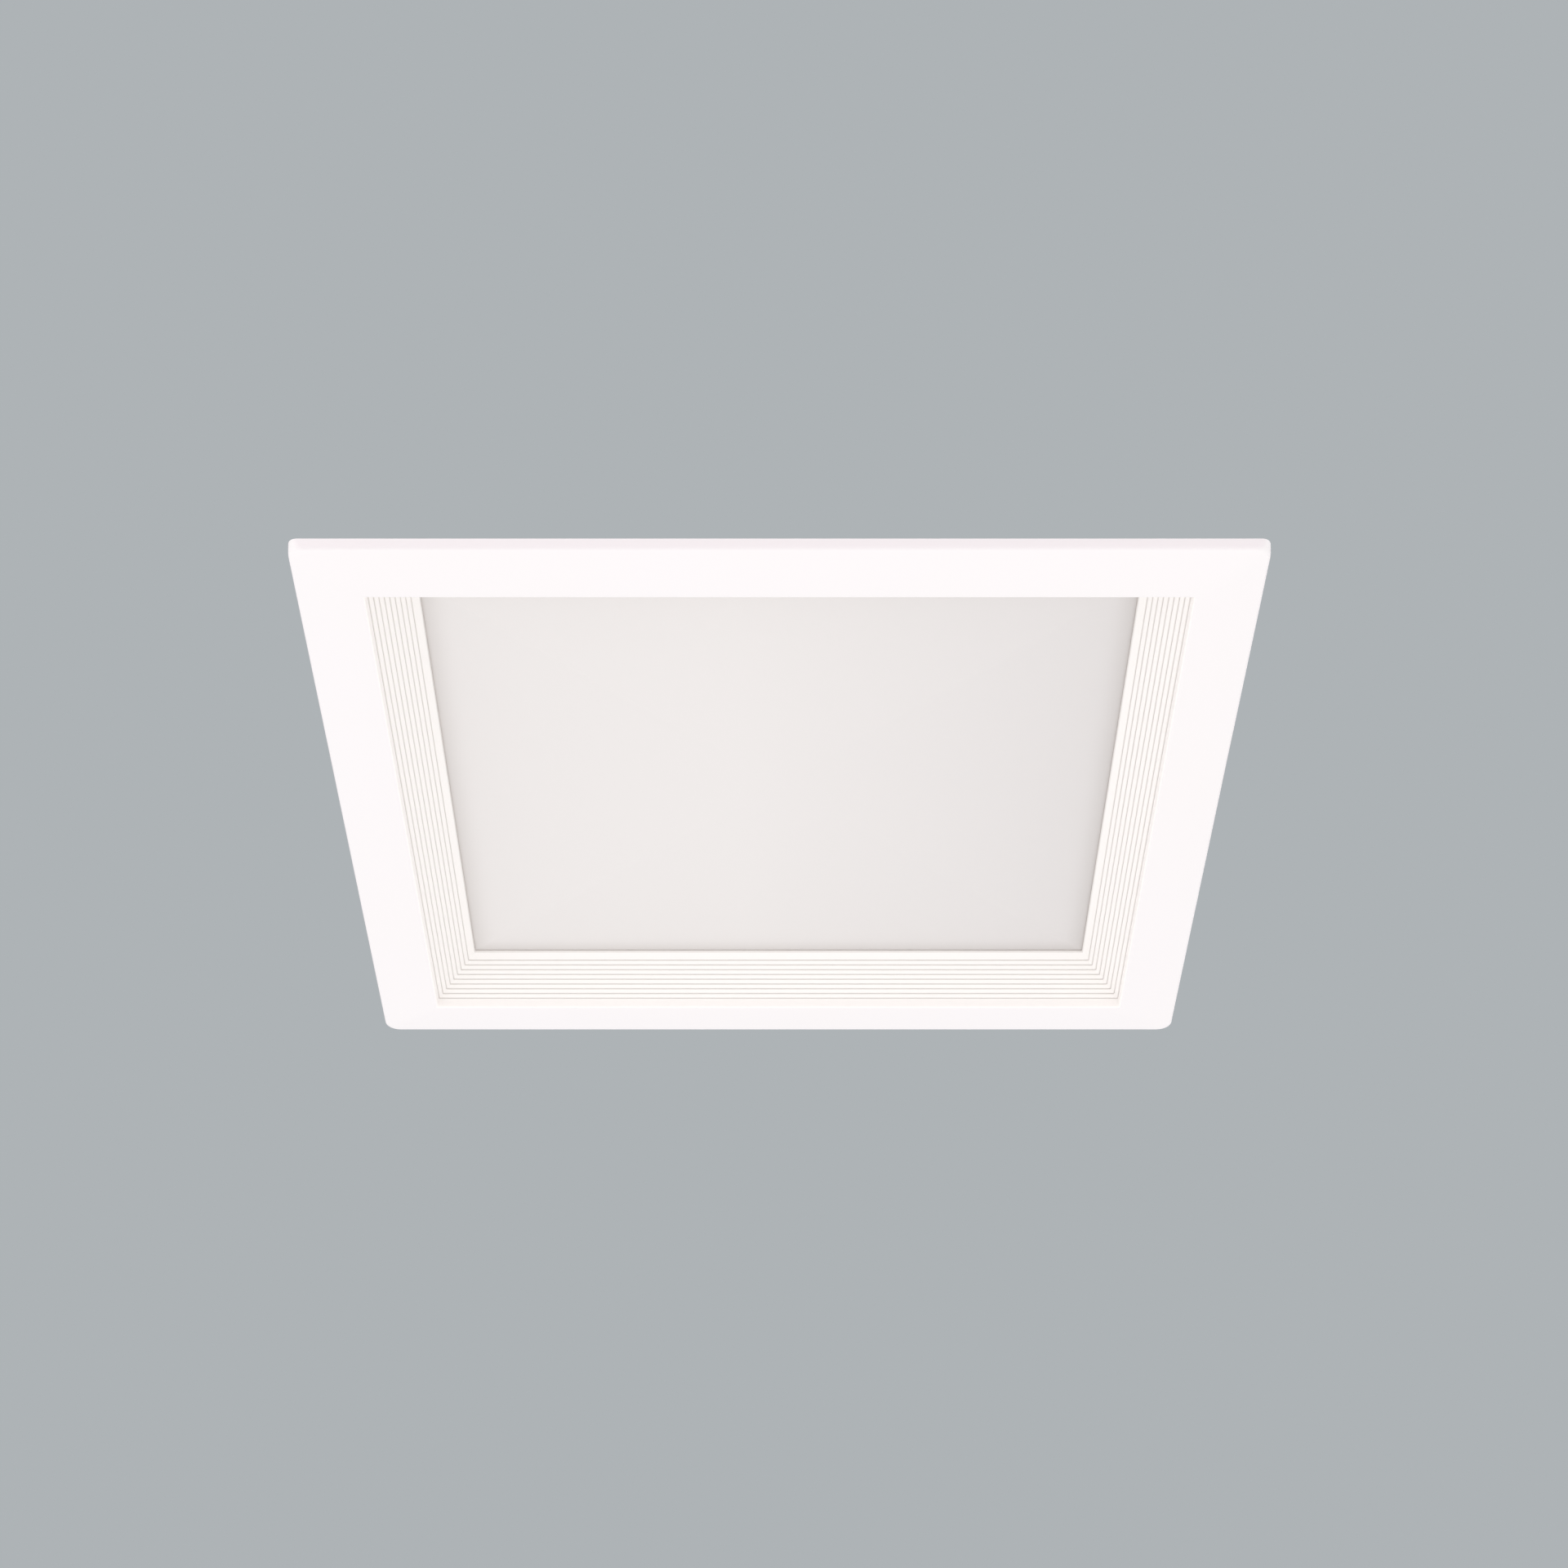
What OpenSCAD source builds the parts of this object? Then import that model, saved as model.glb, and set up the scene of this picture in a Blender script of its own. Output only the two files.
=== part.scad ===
// Square recessed downlight, front face down: the trim's crest stands on z = 0 and +Z points into
// the ceiling void. The trim, recess and opal panel are what a room sees. The housing, heat sink,
// driver box and two spring clips sit above the ceiling. All sizes are in millimetres.

/* [Trim frame] */
// Overall width of the square trim
frame_w = 225; // [218:1:260]
// Thickness of the trim at its outer edge
rim_t = 3.2; // [2.4:0.1:5]
// Radius of the four corners, of the trim and of the neck
corner_r = 4; // [1:0.5:4.5]
// Radius of the trim's lower outer edge
edge_r = 0.8; // [0.3:0.1:1.2]
// How far the crest lies below the trim's outer edge
face_drop = 1.7; // [0.5:0.1:3]
// Width across the crest, where the recess starts
opening_w = 192.4; // [186:0.2:195]
// Flat land on the crest, which the light stands on when it lies on a bench
crest_land = 0.5; // [0.2:0.1:1.5]
// Chamfer between the land and the recess wall
crest_edge = 0.3; // [0.1:0.1:0.6]
// Width of the square neck that enters the ceiling cut-out
neck_w = 200; // [199:0.5:206]
// Wall thickness of the neck
neck_wall = 2; // [1.6:0.1:2.2]
// Wall thickness round the panel's pocket
pocket_wall = 2.5; // [1.5:0.1:2.6]

/* [Recess] */
// Height of the plain wall above the crest
wall_h = 2.46; // [1:0.1:5]
// Slope of the grooved recess, from level
slope_angle = 41; // [35:1:48]
// Number of grooves round the recess
groove_n = 9; // [3:1:9]
// Distance from the foot of the slope to the first groove
groove_start = 0.4; // [0.3:0.1:2]
// Distance between grooves, along the slope
groove_pitch = 1.42; // [1.1:0.02:1.5]
// Width of one groove
groove_w = 0.42; // [0.2:0.02:0.6]
// Depth of one groove
groove_depth = 0.4; // [0.1:0.05:0.6]
// Plain band between the last groove and the lip
band_w = 2.4; // [1:0.1:3]
// Height of the lip's inner edge
lip_t = 0.7; // [0.4:0.1:1.5]
// Thickness of the casting behind the slope
slope_wall = 1.8; // [1.2:0.1:2.5]

/* [Panel and reflector] */
// Thickness of the opal panel
panel_t = 2; // [1.5:0.1:4]
// Width of the seat that the panel rests on
seat_w = 5.5; // [4.5:0.1:6]
// Gap between the panel's edge and its pocket
panel_gap = 0.5; // [0.2:0.1:1]
// Thickness of the gasket on the panel
gasket_t = 0.5; // [0.3:0.1:2]
// Width of the gasket ring
gasket_ring = 4; // [2:0.5:4.5]
// Thickness of the reflector's flange, walls and top
reflector_t = 1; // [0.6:0.1:1.5]
// Slope of the reflector's walls, from upright
reflector_slope = 36.5; // [30:0.5:38]

/* [LED board] */
// Thickness of the LED board
board_t = 1.6; // [1:0.1:2]
// How far the LED board reaches past its connector
board_margin = 0.8; // [0.2:0.1:1.5]
// Thickness of the thermal pad above it
pad_t = 0.5; // [0.3:0.1:1]
// How far the thermal pad stays inside the board's edge
pad_margin = 3; // [1:0.5:12]
// LEDs in a row
led_rows = 6; // [2:2:6]
// Distance between LEDs
led_pitch = 24; // [22:0.5:25]
// Width of an LED package
led_w = 3.5; // [2:0.1:4]
// Height of an LED package
led_h = 0.7; // [0.4:0.1:0.9]
// Radius of the reflector's hole for an LED
led_hole_r = 3.2; // [3:0.1:4]
// Distance between the outer screws that hold the board
board_screw_pitch = 96; // [94:1:98]

/* [Housing] */
// Inside height, from the top of the trim's neck to the heat sink
chamber_h = 26; // [22:0.5:34]
// Thickness of the housing walls
housing_wall = 2.5; // [2:0.1:3]
// Thickness of the housing's foot flange
foot_t = 2.5; // [2:0.1:4]
// How far the foot flange covers the panel's pocket, to clamp the reflector
clamp_land = 3.5; // [2:0.1:4]
// Corner radius of the housing walls
housing_r = 8; // [5:0.5:12]
// Thickness of the heat sink's roof
roof_t = 4; // [3.6:0.1:6]
// Height of the cooling fins
fin_h = 12; // [6:0.5:18]
// Thickness of a fin
fin_t = 1.8; // [1.2:0.1:3]
// Distance between fins
fin_pitch = 8.6; // [8.4:0.1:8.8]
// Number of fins
fin_n = 20; // [14:2:20]
// Space between the fin ends and the edge of the roof
fin_margin = 2; // [1:0.5:5]
// Radius of the hole in the safety-cord eye
eye_r = 3; // [2:0.1:3.5]
// Height of the eye's hole above the fin tops
eye_rise = 6; // [5:0.5:9]

/* [Fasteners] */
// Radius of a screw's thread
screw_r = 1.5; // [1.2:0.05:1.6]
// Radius of a screw's head
head_r = 2.7; // [2.2:0.1:2.9]
// Height of a screw's head
head_h = 1.9; // [1.2:0.1:2.2]
// Radial gap of a screw or pin in its hole
fit_gap = 0.05; // [0.02:0.01:0.08]
// Radius of a cast screw boss
boss_r = 3; // [2.6:0.1:3.4]
// How far a screw stays short of the bottom of its hole
screw_end = 0.5; // [0.3:0.1:1]
// Distance of the foot screws from the middle of each side
foot_screw_y = 55; // [45:1:70]

/* [Driver box] */
// Outer width of the driver tray
tray_w = 74; // [72:1:76]
// Outer length of the driver tray
tray_len = 142; // [140:1:146]
// Where the tray starts, at its low-voltage end
tray_start = -62; // [-63:0.5:-60]
// Height of the tray, from its underside to its rim
tray_h = 28; // [27:0.5:36]
// Wall and floor thickness of the tray
tray_wall = 2; // [1.5:0.1:2.2]
// Air gap between the heat sink and the tray
standoff_h = 3; // [1.5:0.5:8]
// Radius of the posts that carry the tray
standoff_r = 4; // [3.2:0.1:5]
// Thickness of the cover and of the terminal lid
cover_t = 2; // [1.6:0.1:2.2]
// Length of the terminal lid's end of the box
lid_len = 40; // [39:0.5:41]
// Depth of the cover's rim inside the tray
cover_rim = 3; // [1:0.5:5]
// Gap round a cover, a board or a block where it sits in another part
seat_gap = 0.3; // [0.1:0.05:0.5]
// Radius of the hinge knuckles
knuckle_r = 2.4; // [2:0.1:2.5]
// Radius of the lid's hinge pin
lid_pin_r = 1; // [0.7:0.05:1.2]
// Reach of the lid's finger tab
tab_len = 3; // [2:0.5:6]

/* [Driver board] */
// Height of the posts under the driver board
post_h = 4; // [3:0.5:5]
// Width of the driver board
circuit_w = 56; // [54:1:58]
// Length of the driver board
circuit_len = 122; // [120:1:123]
// Thickness of the driver board
circuit_t = 1.6; // [1:0.1:2]
// Width of one pole of the terminal block
pole_w = 9; // [8:0.5:10]
// Number of poles
pole_n = 3; // [2:1:3]
// Height of the terminal block
terminal_h = 14; // [13:0.5:16]
// Depth of the terminal block
terminal_d = 12; // [11:0.5:13]

/* [Cable entry] */
// Radius of the hole through a cable grommet
cable_r = 3.9; // [3:0.1:4.5]
// Distance between the two cable entries
entry_pitch = 22; // [20:0.5:26]
// Height of the cable entries above the driver board
entry_h = 7.5; // [7:0.5:9]
// Rubber thickness round a cable
grommet_t = 1.6; // [1.2:0.1:2]
// Thickness of a grommet's flange
grommet_flange = 1.4; // [1:0.1:2]
// Length of the cable clamp bar and its saddle
clamp_len = 56; // [54:1:58]
// Thickness of the clamp bar and its saddle
clamp_d = 6; // [5:0.5:6]
// Radius of one lead from the driver to the LED board
lead_r = 0.75; // [0.5:0.05:0.8]

/* [Spring clips] */
// Height of the clip's pin above the foot flange
clip_h = 10.5; // [10.5:0.5:14]
// Radius of the clip's pin
pin_r = 1.25; // [1:0.05:1.5]
// Width of the spring arm
arm_w = 24; // [23.6:0.2:26]
// Length of the spring arm, from its pin
arm_len = 42; // [34:1:50]
// Sheet thickness of the arm
arm_t = 1; // [0.8:0.1:1.2]
// How far the arm droops below level when it rests on its stop
arm_droop = 27; // [15:1:28]
// Height of the arm's side flanges
arm_flange = 4; // [3:0.1:4.5]
// Sheet thickness of the clip bracket
bracket_t = 1.2; // [1:0.1:1.6]
// Distance between the bracket's screws
bracket_screws = 38; // [36:1:44]
// Radius of the spring wire
wire_r = 0.6; // [0.4:0.05:0.6]
// Mean radius of the spring's coils
coil_r = 3.4; // [3:0.1:3.6]
// Full turns in each coil
coil_turns = 4; // [2:1:4]
// Distance between turns
coil_pitch = 1.7; // [1.66:0.01:1.72]
// Length of the spring's loop along the arm
loop_len = 15; // [10:0.5:20]
// Gap between the spring and the sheet that it presses on
touch_gap = 0.3; // [0.1:0.05:0.4]

/* [Hidden] */
$fn = 48;
e = 0.01;

// Levels, from the front of the light upwards
rim_back_z = face_drop + rim_t;
slope_len = groove_start + (groove_n - 1) * groove_pitch + band_w;
lip_half = slope_pt(slope_len, 0)[0];
seat_z = slope_pt(slope_len, 0)[1] + lip_t;
panel_top_z = seat_z + panel_t;
gasket_top_z = panel_top_z + gasket_t;
neck_top_z = gasket_top_z + reflector_t;
foot_top_z = neck_top_z + foot_t;
roof_in_z = neck_top_z + chamber_h;
roof_z = roof_in_z + roof_t;
fin_top_z = roof_z + fin_h;
board_back_z = roof_in_z - pad_t;
board_z = board_back_z - board_t;
reflector_top_z = board_z - reflector_t;
tray_z = roof_z + standoff_h;
tray_floor_z = tray_z + tray_wall;
tray_rim_z = tray_z + tray_h;
cover_top_z = tray_rim_z + cover_t;
circuit_z = tray_floor_z + post_h;
circuit_top_z = circuit_z + circuit_t;

// Half widths, from the recess outwards
crest_in = opening_w / 2 + crest_edge;
crest_out = crest_in + crest_land;
pocket_half = lip_half + seat_w;
channel_in = pocket_half + pocket_wall;
channel_out = neck_w / 2 - neck_wall;
foot_screw_x = (channel_in + channel_out) / 2;
housing_in = pocket_half - clamp_land;
housing_out = housing_in + housing_wall;

// The driver box
tray_end = tray_start + tray_len;
hinge_y = tray_end - lid_len;
hinge_z = cover_top_z + 0.5;
knuckle_gap = 0.4;
knuckle_reach = knuckle_r + knuckle_gap;
board_start = tray_start + 6;
post_x = circuit_w / 2 - 4;
post_ys = [board_start + 6, hinge_y - 18];
tray_screw_x = 17;
tray_screw_ys = [tray_start + 22, hinge_y + 19];
cover_post_x = tray_w / 2 - tray_wall - 3;
cover_post_ys = [tray_start + tray_wall + 2.8, hinge_y - 7];
cover_post_r = 2.6;
cover_screw_len = 8;
entry_z = circuit_top_z + entry_h;
entry_wall_r = cable_r + grommet_t - 0.6;
clamp_y = tray_end - tray_wall - 5 - clamp_d;
clamp_screw_x = clamp_len / 2 - 4;
clamp_screw_depth = 8;
clamp_split = 1;
terminal_y = hinge_y + 2;
terminal_front = terminal_y + terminal_d;
wire_hole_z = circuit_top_z + 4;
cage = [6, 6, 7];

// The reflector's wall, and the LED board's connector just outside it
reflector_wall = reflector_t / cos(reflector_slope);
connector = [8, 5, 4.5];
connector_in = reflector_half(board_z - connector[2]) + reflector_wall + seat_gap;
connector_y = -connector_in - connector[1] / 2;
connector_mid_z = board_z - connector[2] / 2;
board_w = 2 * (connector_in + connector[1] + board_margin);

// The leads from the driver to the LED board
lead_x = 0.9;
lead_hole_y = -(housing_in - 4.2);
lead_hole_r = 3;
lead_bore_r = 2.1;
lead_flange = 0.9;
lead_exit_z = circuit_top_z + 3.4;
output_y = board_start + 1;
output_size = [8, 8, 6.2];
// Points of one lead as [y, z], from the LED board to the driver
lead_points = [
    [connector_y - connector[1] / 2, connector_mid_z],
    [connector_y - connector[1] / 2 - 1.4, connector_mid_z],
    [lead_hole_y + 1.4, connector_mid_z + 0.8],
    [lead_hole_y, connector_mid_z + 3],
    [lead_hole_y, roof_in_z + 1],
    [lead_hole_y, roof_z + 1.5],
    [lead_hole_y + 1.2, roof_z + 5.5],
    [lead_hole_y + 5, lead_exit_z - 4.6],
    [tray_start - 9, lead_exit_z - 1.2],
    [tray_start - 4, lead_exit_z],
    [tray_start + 1, lead_exit_z],
    [output_y, lead_exit_z]
];
lead_steps = 3;

// The spring clips. A clip is drawn on the right-hand side, and the left one is its mirror image
bracket_x = housing_out + bracket_t;
clip_x = bracket_x + touch_gap + wire_r + coil_r;
clip_z = foot_top_z + clip_h;
arm_dir = [cos(arm_droop), -sin(arm_droop)];
arm_up = [sin(arm_droop), cos(arm_droop)];
arm_top = coil_r - wire_r - touch_gap;
arm_in = arm_w / 2 - arm_t;
ear_r = 4;
heel = [bracket_x - clip_x + 0.05, -4.5];
plate_start = 5.2;
bracket_in = arm_w / 2 + touch_gap;
bracket_half = bracket_screws / 2 + 5;
bracket_low = 9;
bracket_high = 11;
bracket_ear_r = 5.5;
pin_head_r = 2.2;
pin_head_t = 1;
tip_len = 6;
tip_wall = 1.3;

// The point at distance s up the slope and depth d into the casting, as [half width, z]
function slope_pt(s, d) = [
    opening_w / 2 - s * cos(slope_angle) + d * sin(slope_angle),
    wall_h + s * sin(slope_angle) + d * cos(slope_angle)
];

// Height of the casting's back face behind the slope, at a half width of r
function slope_back_z(r) =
    wall_h + (opening_w / 2 - r) * tan(slope_angle) + slope_wall / cos(slope_angle);

// Half width of the reflector's inner face at height z
function reflector_half(z) = lip_half + 0.2 - (z - gasket_top_z) * tan(reflector_slope);

// The trim's face at share t of the way from the crest to the rim: a gentle crown
function face_pt(t) = [
    crest_out + t * (frame_w / 2 - edge_r - crest_out),
    face_drop * pow(t, 1.5)
];

// The round lower edge of the rim, at angle a
function edge_pt(a) = [
    frame_w / 2 - edge_r * (1 - cos(a)),
    face_drop + edge_r * (1 - sin(a))
];

// One V groove, centred at distance s up the slope
function groove_pts(s) = [
    slope_pt(s - groove_w / 2, 0),
    slope_pt(s, groove_depth),
    slope_pt(s + groove_w / 2, 0)
];

// Cross-section of the trim frame, from the back of the rim round the front to the neck
function frame_profile() = concat(
    [[frame_w / 2, rim_back_z]],
    [for (a = [0:22.5:90]) edge_pt(a)],
    [for (i = [4:-1:0]) face_pt(i / 5)],
    [[crest_in, 0], [opening_w / 2, crest_edge], [opening_w / 2, wall_h]],
    [for (i = [0:groove_n - 1]) each groove_pts(groove_start + i * groove_pitch)],
    [
        slope_pt(slope_len, 0),
        [lip_half, seat_z],
        [pocket_half, seat_z],
        [pocket_half, neck_top_z],
        [channel_in, neck_top_z],
        [channel_in, slope_back_z(channel_in)],
        [opening_w / 2, channel_floor_z],
        [channel_out, channel_floor_z],
        [channel_out, neck_top_z],
        [neck_w / 2, neck_top_z],
        [neck_w / 2, rim_back_z]
    ]
);

// Curves and tubes
function unit(v) = v / norm(v);

// A point on a smooth curve through the points p, between p[i] and p[i + 1]
function smooth_pt(p, i, t) = let (
    a = p[max(i - 1, 0)],
    b = p[i],
    c = p[i + 1],
    d = p[min(i + 2, len(p) - 1)]
) 0.5 * (2 * b + (c - a) * t + (2 * a - 5 * b + 4 * c - d) * t * t
    + (3 * b - a - 3 * c + d) * t * t * t);

function smooth(p, n) = [
    for (i = [0:len(p) - 2]) for (k = [0:n - 1]) smooth_pt(p, i, k / n),
    p[len(p) - 1]
];

function tangents(p) = [
    for (i = [0:len(p) - 1]) unit(p[min(i + 1, len(p) - 1)] - p[max(i - 1, 0)])
];

// Side directions carried along the tangents t, so that the tube doesn't twist
function carried(t, first) = [
    for (i = 0, n = unit(first - (first * t[0]) * t[0]); i < len(t);
        i = i + 1, n = i < len(t) ? unit(n - (n * t[i]) * t[i]) : n) n
];

// A round tube of the given radius along the points p, closed at both ends
module tube(p, radius, sides, first) {
    t = tangents(p);
    n = carried(t, first);
    last = len(p) - 1;
    points = [for (i = [0:last]) for (k = [0:sides - 1])
        p[i] + radius * (cos(360 * k / sides) * n[i] + sin(360 * k / sides) * cross(t[i], n[i]))];
    side_faces = [for (i = [0:last - 1]) for (k = [0:sides - 1])
        let (a = i * sides + k, b = i * sides + (k + 1) % sides)
        each [[a, a + sides, b], [b, a + sides, b + sides]]];
    end_faces = [for (k = [1:sides - 2])
        each [[0, k, k + 1], [last * sides, last * sides + k + 1, last * sides + k]]];
    polyhedron(points, concat(side_faces, end_faces));
}

// Plates and rings
module rounded_square(w, r) {
    square([w - 2 * r, w], center = true);
    square([w, w - 2 * r], center = true);
    for (x = [-1, 1], y = [-1, 1])
        translate([x * (w / 2 - r), y * (w / 2 - r)]) circle(r);
}

module slab(w, r, z0, z1) {
    translate([0, 0, z0]) linear_extrude(z1 - z0) rounded_square(w, r);
}

module square_slab(w, z0, z1) {
    translate([-w / 2, -w / 2, z0]) cube([w, w, z1 - z0]);
}

// A box between two corners
module box(low, high) {
    translate(low) cube(high - low);
}

// Four straight bars of one cross-section, mitred at the corners
module mitred_ring(profile, reach) {
    for (turn = [0:3]) rotate(90 * turn) intersection() {
        rotate([90, 0, 0]) linear_extrude(2 * reach, center = true) polygon(profile);
        translate([0, 0, -reach]) linear_extrude(2 * reach)
            polygon([[0, 0], [reach, -reach], [reach, reach]]);
    }
}

// A flat square ring between two half widths
module flat_ring(inner, outer, z0, z1) {
    difference() {
        square_slab(2 * outer, z0, z1);
        square_slab(2 * inner, z0 - 1, z1 + 1);
    }
}

// Fasteners. A screw's head stands on z = 0 and its thread points down
module pan_screw(length) {
    difference() {
        cylinder(h = head_h, r1 = head_r, r2 = head_r * 0.8);
        for (turn = [0, 90]) rotate(turn)
            box([-head_r * 0.6, -0.35, head_h - 1], [head_r * 0.6, 0.35, head_h + 1]);
    }
    translate([0, 0, -length]) cylinder(h = length + e, r = screw_r);
}

module screw_hole(depth) {
    translate([0, 0, -depth]) cylinder(h = depth + 1, r = screw_r + fit_gap);
}

// The places of the eight foot screws, the board screws and the tray screws
module at_foot_screws() {
    for (turn = [0:90:270], y = [-1, 1])
        rotate(turn) translate([foot_screw_x, y * foot_screw_y]) children();
}

module at_board_screws() {
    translate([0, 0]) children();
    for (x = [-1, 1], y = [-1, 1])
        translate([x, y] * board_screw_pitch / 2) children();
}

module at_tray_screws() {
    for (x = [-1, 1], y = tray_screw_ys) translate([x * tray_screw_x, y]) children();
}

module at_leds() {
    for (i = [0:led_rows - 1], j = [0:led_rows - 1])
        translate([i - (led_rows - 1) / 2, j - (led_rows - 1) / 2] * led_pitch) children();
}

// The trim frame: a white die-cast aluminium square with its recess, lip and neck
channel_floor_z = slope_back_z(opening_w / 2);
foot_screw_len = neck_top_z - slope_back_z(channel_in) - 1;
module foot_bosses() intersection() {
    mitred_ring([
        [channel_in - 1, neck_top_z],
        [channel_in - 1, slope_back_z(channel_in)],
        [opening_w / 2, channel_floor_z - 0.5],
        [channel_out + 1, channel_floor_z - 0.5],
        [channel_out + 1, neck_top_z]
    ], frame_w);
    at_foot_screws() cylinder(h = neck_top_z, r = boss_r);
}

module trim_frame() color("white") difference() {
    union() {
        intersection() {
            mitred_ring(frame_profile(), frame_w);
            union() {
                slab(frame_w, corner_r, -1, rim_back_z);
                slab(neck_w, corner_r, 0, neck_top_z + 1);
            }
        }
        foot_bosses();
    }
    at_foot_screws() translate([0, 0, neck_top_z]) screw_hole(foot_screw_len);
}

// The opal panel lies on the frame's seat, and the gasket and reflector press it down
module opal_panel() color("whitesmoke")
    square_slab(2 * (pocket_half - panel_gap), seat_z, panel_top_z);

module panel_gasket() color("gray")
    flat_ring(pocket_half - panel_gap - gasket_ring, pocket_half - panel_gap,
        panel_top_z, gasket_top_z);

// The reflector: a white tray with sloping walls and a hole for each LED
module reflector() color("white") difference() {
    intersection() {
        union() {
            mitred_ring([
                [pocket_half - panel_gap, gasket_top_z],
                [reflector_half(gasket_top_z), gasket_top_z],
                [reflector_half(reflector_top_z), reflector_top_z],
                [reflector_half(reflector_top_z), board_z],
                [reflector_half(board_z) + reflector_wall, board_z],
                [reflector_half(neck_top_z) + reflector_wall, neck_top_z],
                [pocket_half - panel_gap, neck_top_z]
            ], frame_w);
            square_slab(2 * reflector_half(reflector_top_z) + e, reflector_top_z, board_z);
        }
        union() {
            square_slab(2 * pocket_half, gasket_top_z, neck_top_z);
            slab(2 * (housing_in - seat_gap), housing_r - housing_wall, neck_top_z - e, board_z);
        }
    }
    at_leds() translate([0, 0, reflector_top_z - 1]) cylinder(h = reflector_t + 2, r = led_hole_r);
    at_board_screws() translate([0, 0, board_z]) screw_hole(reflector_t + 1);
}

// The LED board and what it carries
module led_board() color("snow") difference() {
    square_slab(board_w, board_z, board_back_z);
    at_board_screws() translate([0, 0, board_back_z]) screw_hole(board_t + 1);
}

module led_packages() color("gold")
    at_leds() square_slab(led_w, board_z - led_h, board_z);

module led_connector() color("ivory") difference() {
    box([-connector[0] / 2, connector_y - connector[1] / 2, board_z - connector[2]],
        [connector[0] / 2, connector_y + connector[1] / 2, board_z]);
    for (x = [-1, 1]) translate([x * 2.8, connector_y, board_z - connector[2] - 1])
        cylinder(h = 2, r = 0.6);
}

board_screw_len = reflector_t + board_t + pad_t + roof_t - 0.8 - screw_end;
module board_screws() color("silver")
    at_board_screws() translate([0, 0, reflector_top_z]) mirror([0, 0, 1])
        pan_screw(board_screw_len);

module thermal_pad() color("lightgray") difference() {
    square_slab(board_w - 2 * pad_margin, board_back_z, roof_in_z);
    at_board_screws() translate([0, 0, roof_in_z]) screw_hole(pad_t + 1);
}

// The housing: a die-cast wall on a foot that clamps the reflector's flange on the trim's neck
module housing() color("gainsboro") difference() {
    union() {
        slab(neck_w, corner_r, neck_top_z, foot_top_z);
        slab(2 * housing_out, housing_r, neck_top_z, roof_in_z);
    }
    slab(2 * housing_in, housing_r - housing_wall, neck_top_z - 1, roof_in_z + 1);
    at_foot_screws() translate([0, 0, foot_top_z]) screw_hole(foot_t + 1);
    for (x = [-1, 1], y = [-1, 1]) translate([x * housing_out, y * bracket_screws / 2, clip_z])
        rotate([0, 90, 0]) cylinder(h = 3 * housing_wall, r = screw_r + fit_gap, center = true);
}

module housing_screws() color("silver")
    at_foot_screws() translate([0, 0, foot_top_z]) pan_screw(foot_t + foot_screw_len - screw_end);

// The heat sink: a die-cast roof on the housing's wall. The board screws draw it down on the wall,
// and it cools the LEDs and carries the driver box and the safety eye
fin_reach = housing_out - fin_margin;
tray_clear = tray_w / 2 + 3;
eye_x = (floor(tray_clear / fin_pitch) + 3) * fin_pitch;
eye_z = fin_top_z + eye_rise;
eye_y = fin_reach - 12;
module safety_eye() difference() {
    union() {
        box([eye_x - 2, eye_y - eye_r - 3, roof_z - e], [eye_x + 2, eye_y + eye_r + 3, eye_z]);
        translate([eye_x - 2, eye_y, eye_z]) rotate([0, 90, 0]) cylinder(h = 4, r = eye_r + 3);
    }
    translate([eye_x - 3, eye_y, eye_z]) rotate([0, 90, 0]) cylinder(h = 6, r = eye_r);
}

// A fin beside the driver box runs the whole length, one behind the box is a short stub, and none
// stands where the leads come out of the roof
module fins() {
    for (i = [0:fin_n - 1]) {
        x = (i - (fin_n - 1) / 2) * fin_pitch;
        stop_y = abs(x) > tray_clear ? fin_reach : tray_start - 4;
        if (abs(x) - fin_t / 2 > lead_hole_r + lead_flange + seat_gap)
            box([x - fin_t / 2, -fin_reach, roof_z - e], [x + fin_t / 2, stop_y, fin_top_z]);
    }
}

module heat_sink() color("gainsboro") difference() {
    union() {
        slab(2 * housing_out, housing_r, roof_in_z, roof_z);
        fins();
        safety_eye();
        at_tray_screws() translate([0, 0, roof_z - e]) cylinder(h = standoff_h + e, r = standoff_r);
    }
    at_board_screws() translate([0, 0, roof_in_z]) mirror([0, 0, 1]) screw_hole(roof_t - 0.8);
    at_tray_screws() translate([0, 0, tray_z]) screw_hole(standoff_h + roof_t - 1);
    translate([0, lead_hole_y, roof_in_z - 1]) cylinder(h = roof_t + 2, r = lead_hole_r + fit_gap);
}

// A rubber grommet along +Z in a wall of the given thickness whose outer face is at z = 0
module grommet(bore, body, flange, wall) difference() {
    union() {
        translate([0, 0, -wall - grommet_flange]) cylinder(h = wall + 2 * grommet_flange, r = body);
        cylinder(h = grommet_flange, r = flange);
        translate([0, 0, -wall - grommet_flange]) cylinder(h = grommet_flange, r = flange);
    }
    translate([0, 0, -wall - 2 * grommet_flange]) cylinder(h = wall + 4 * grommet_flange, r = bore);
}

module lead_grommets() color("dimgray") {
    translate([0, lead_hole_y, roof_z])
        grommet(lead_bore_r, lead_hole_r, lead_hole_r + lead_flange, roof_t);
    translate([0, tray_start, lead_exit_z]) rotate([90, 0, 0])
        grommet(lead_bore_r, lead_hole_r - 0.5, lead_hole_r - 0.5 + lead_flange, tray_wall);
}

// The two leads run from the LED board through the roof and over to the driver board
module lead(x) tube([for (p = smooth(lead_points, lead_steps)) [x, p[0], p[1]]],
    lead_r, 8, [1, 0, 0]);

module red_lead() color("firebrick") lead(lead_x);

module black_lead() color("black") lead(-lead_x);

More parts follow.
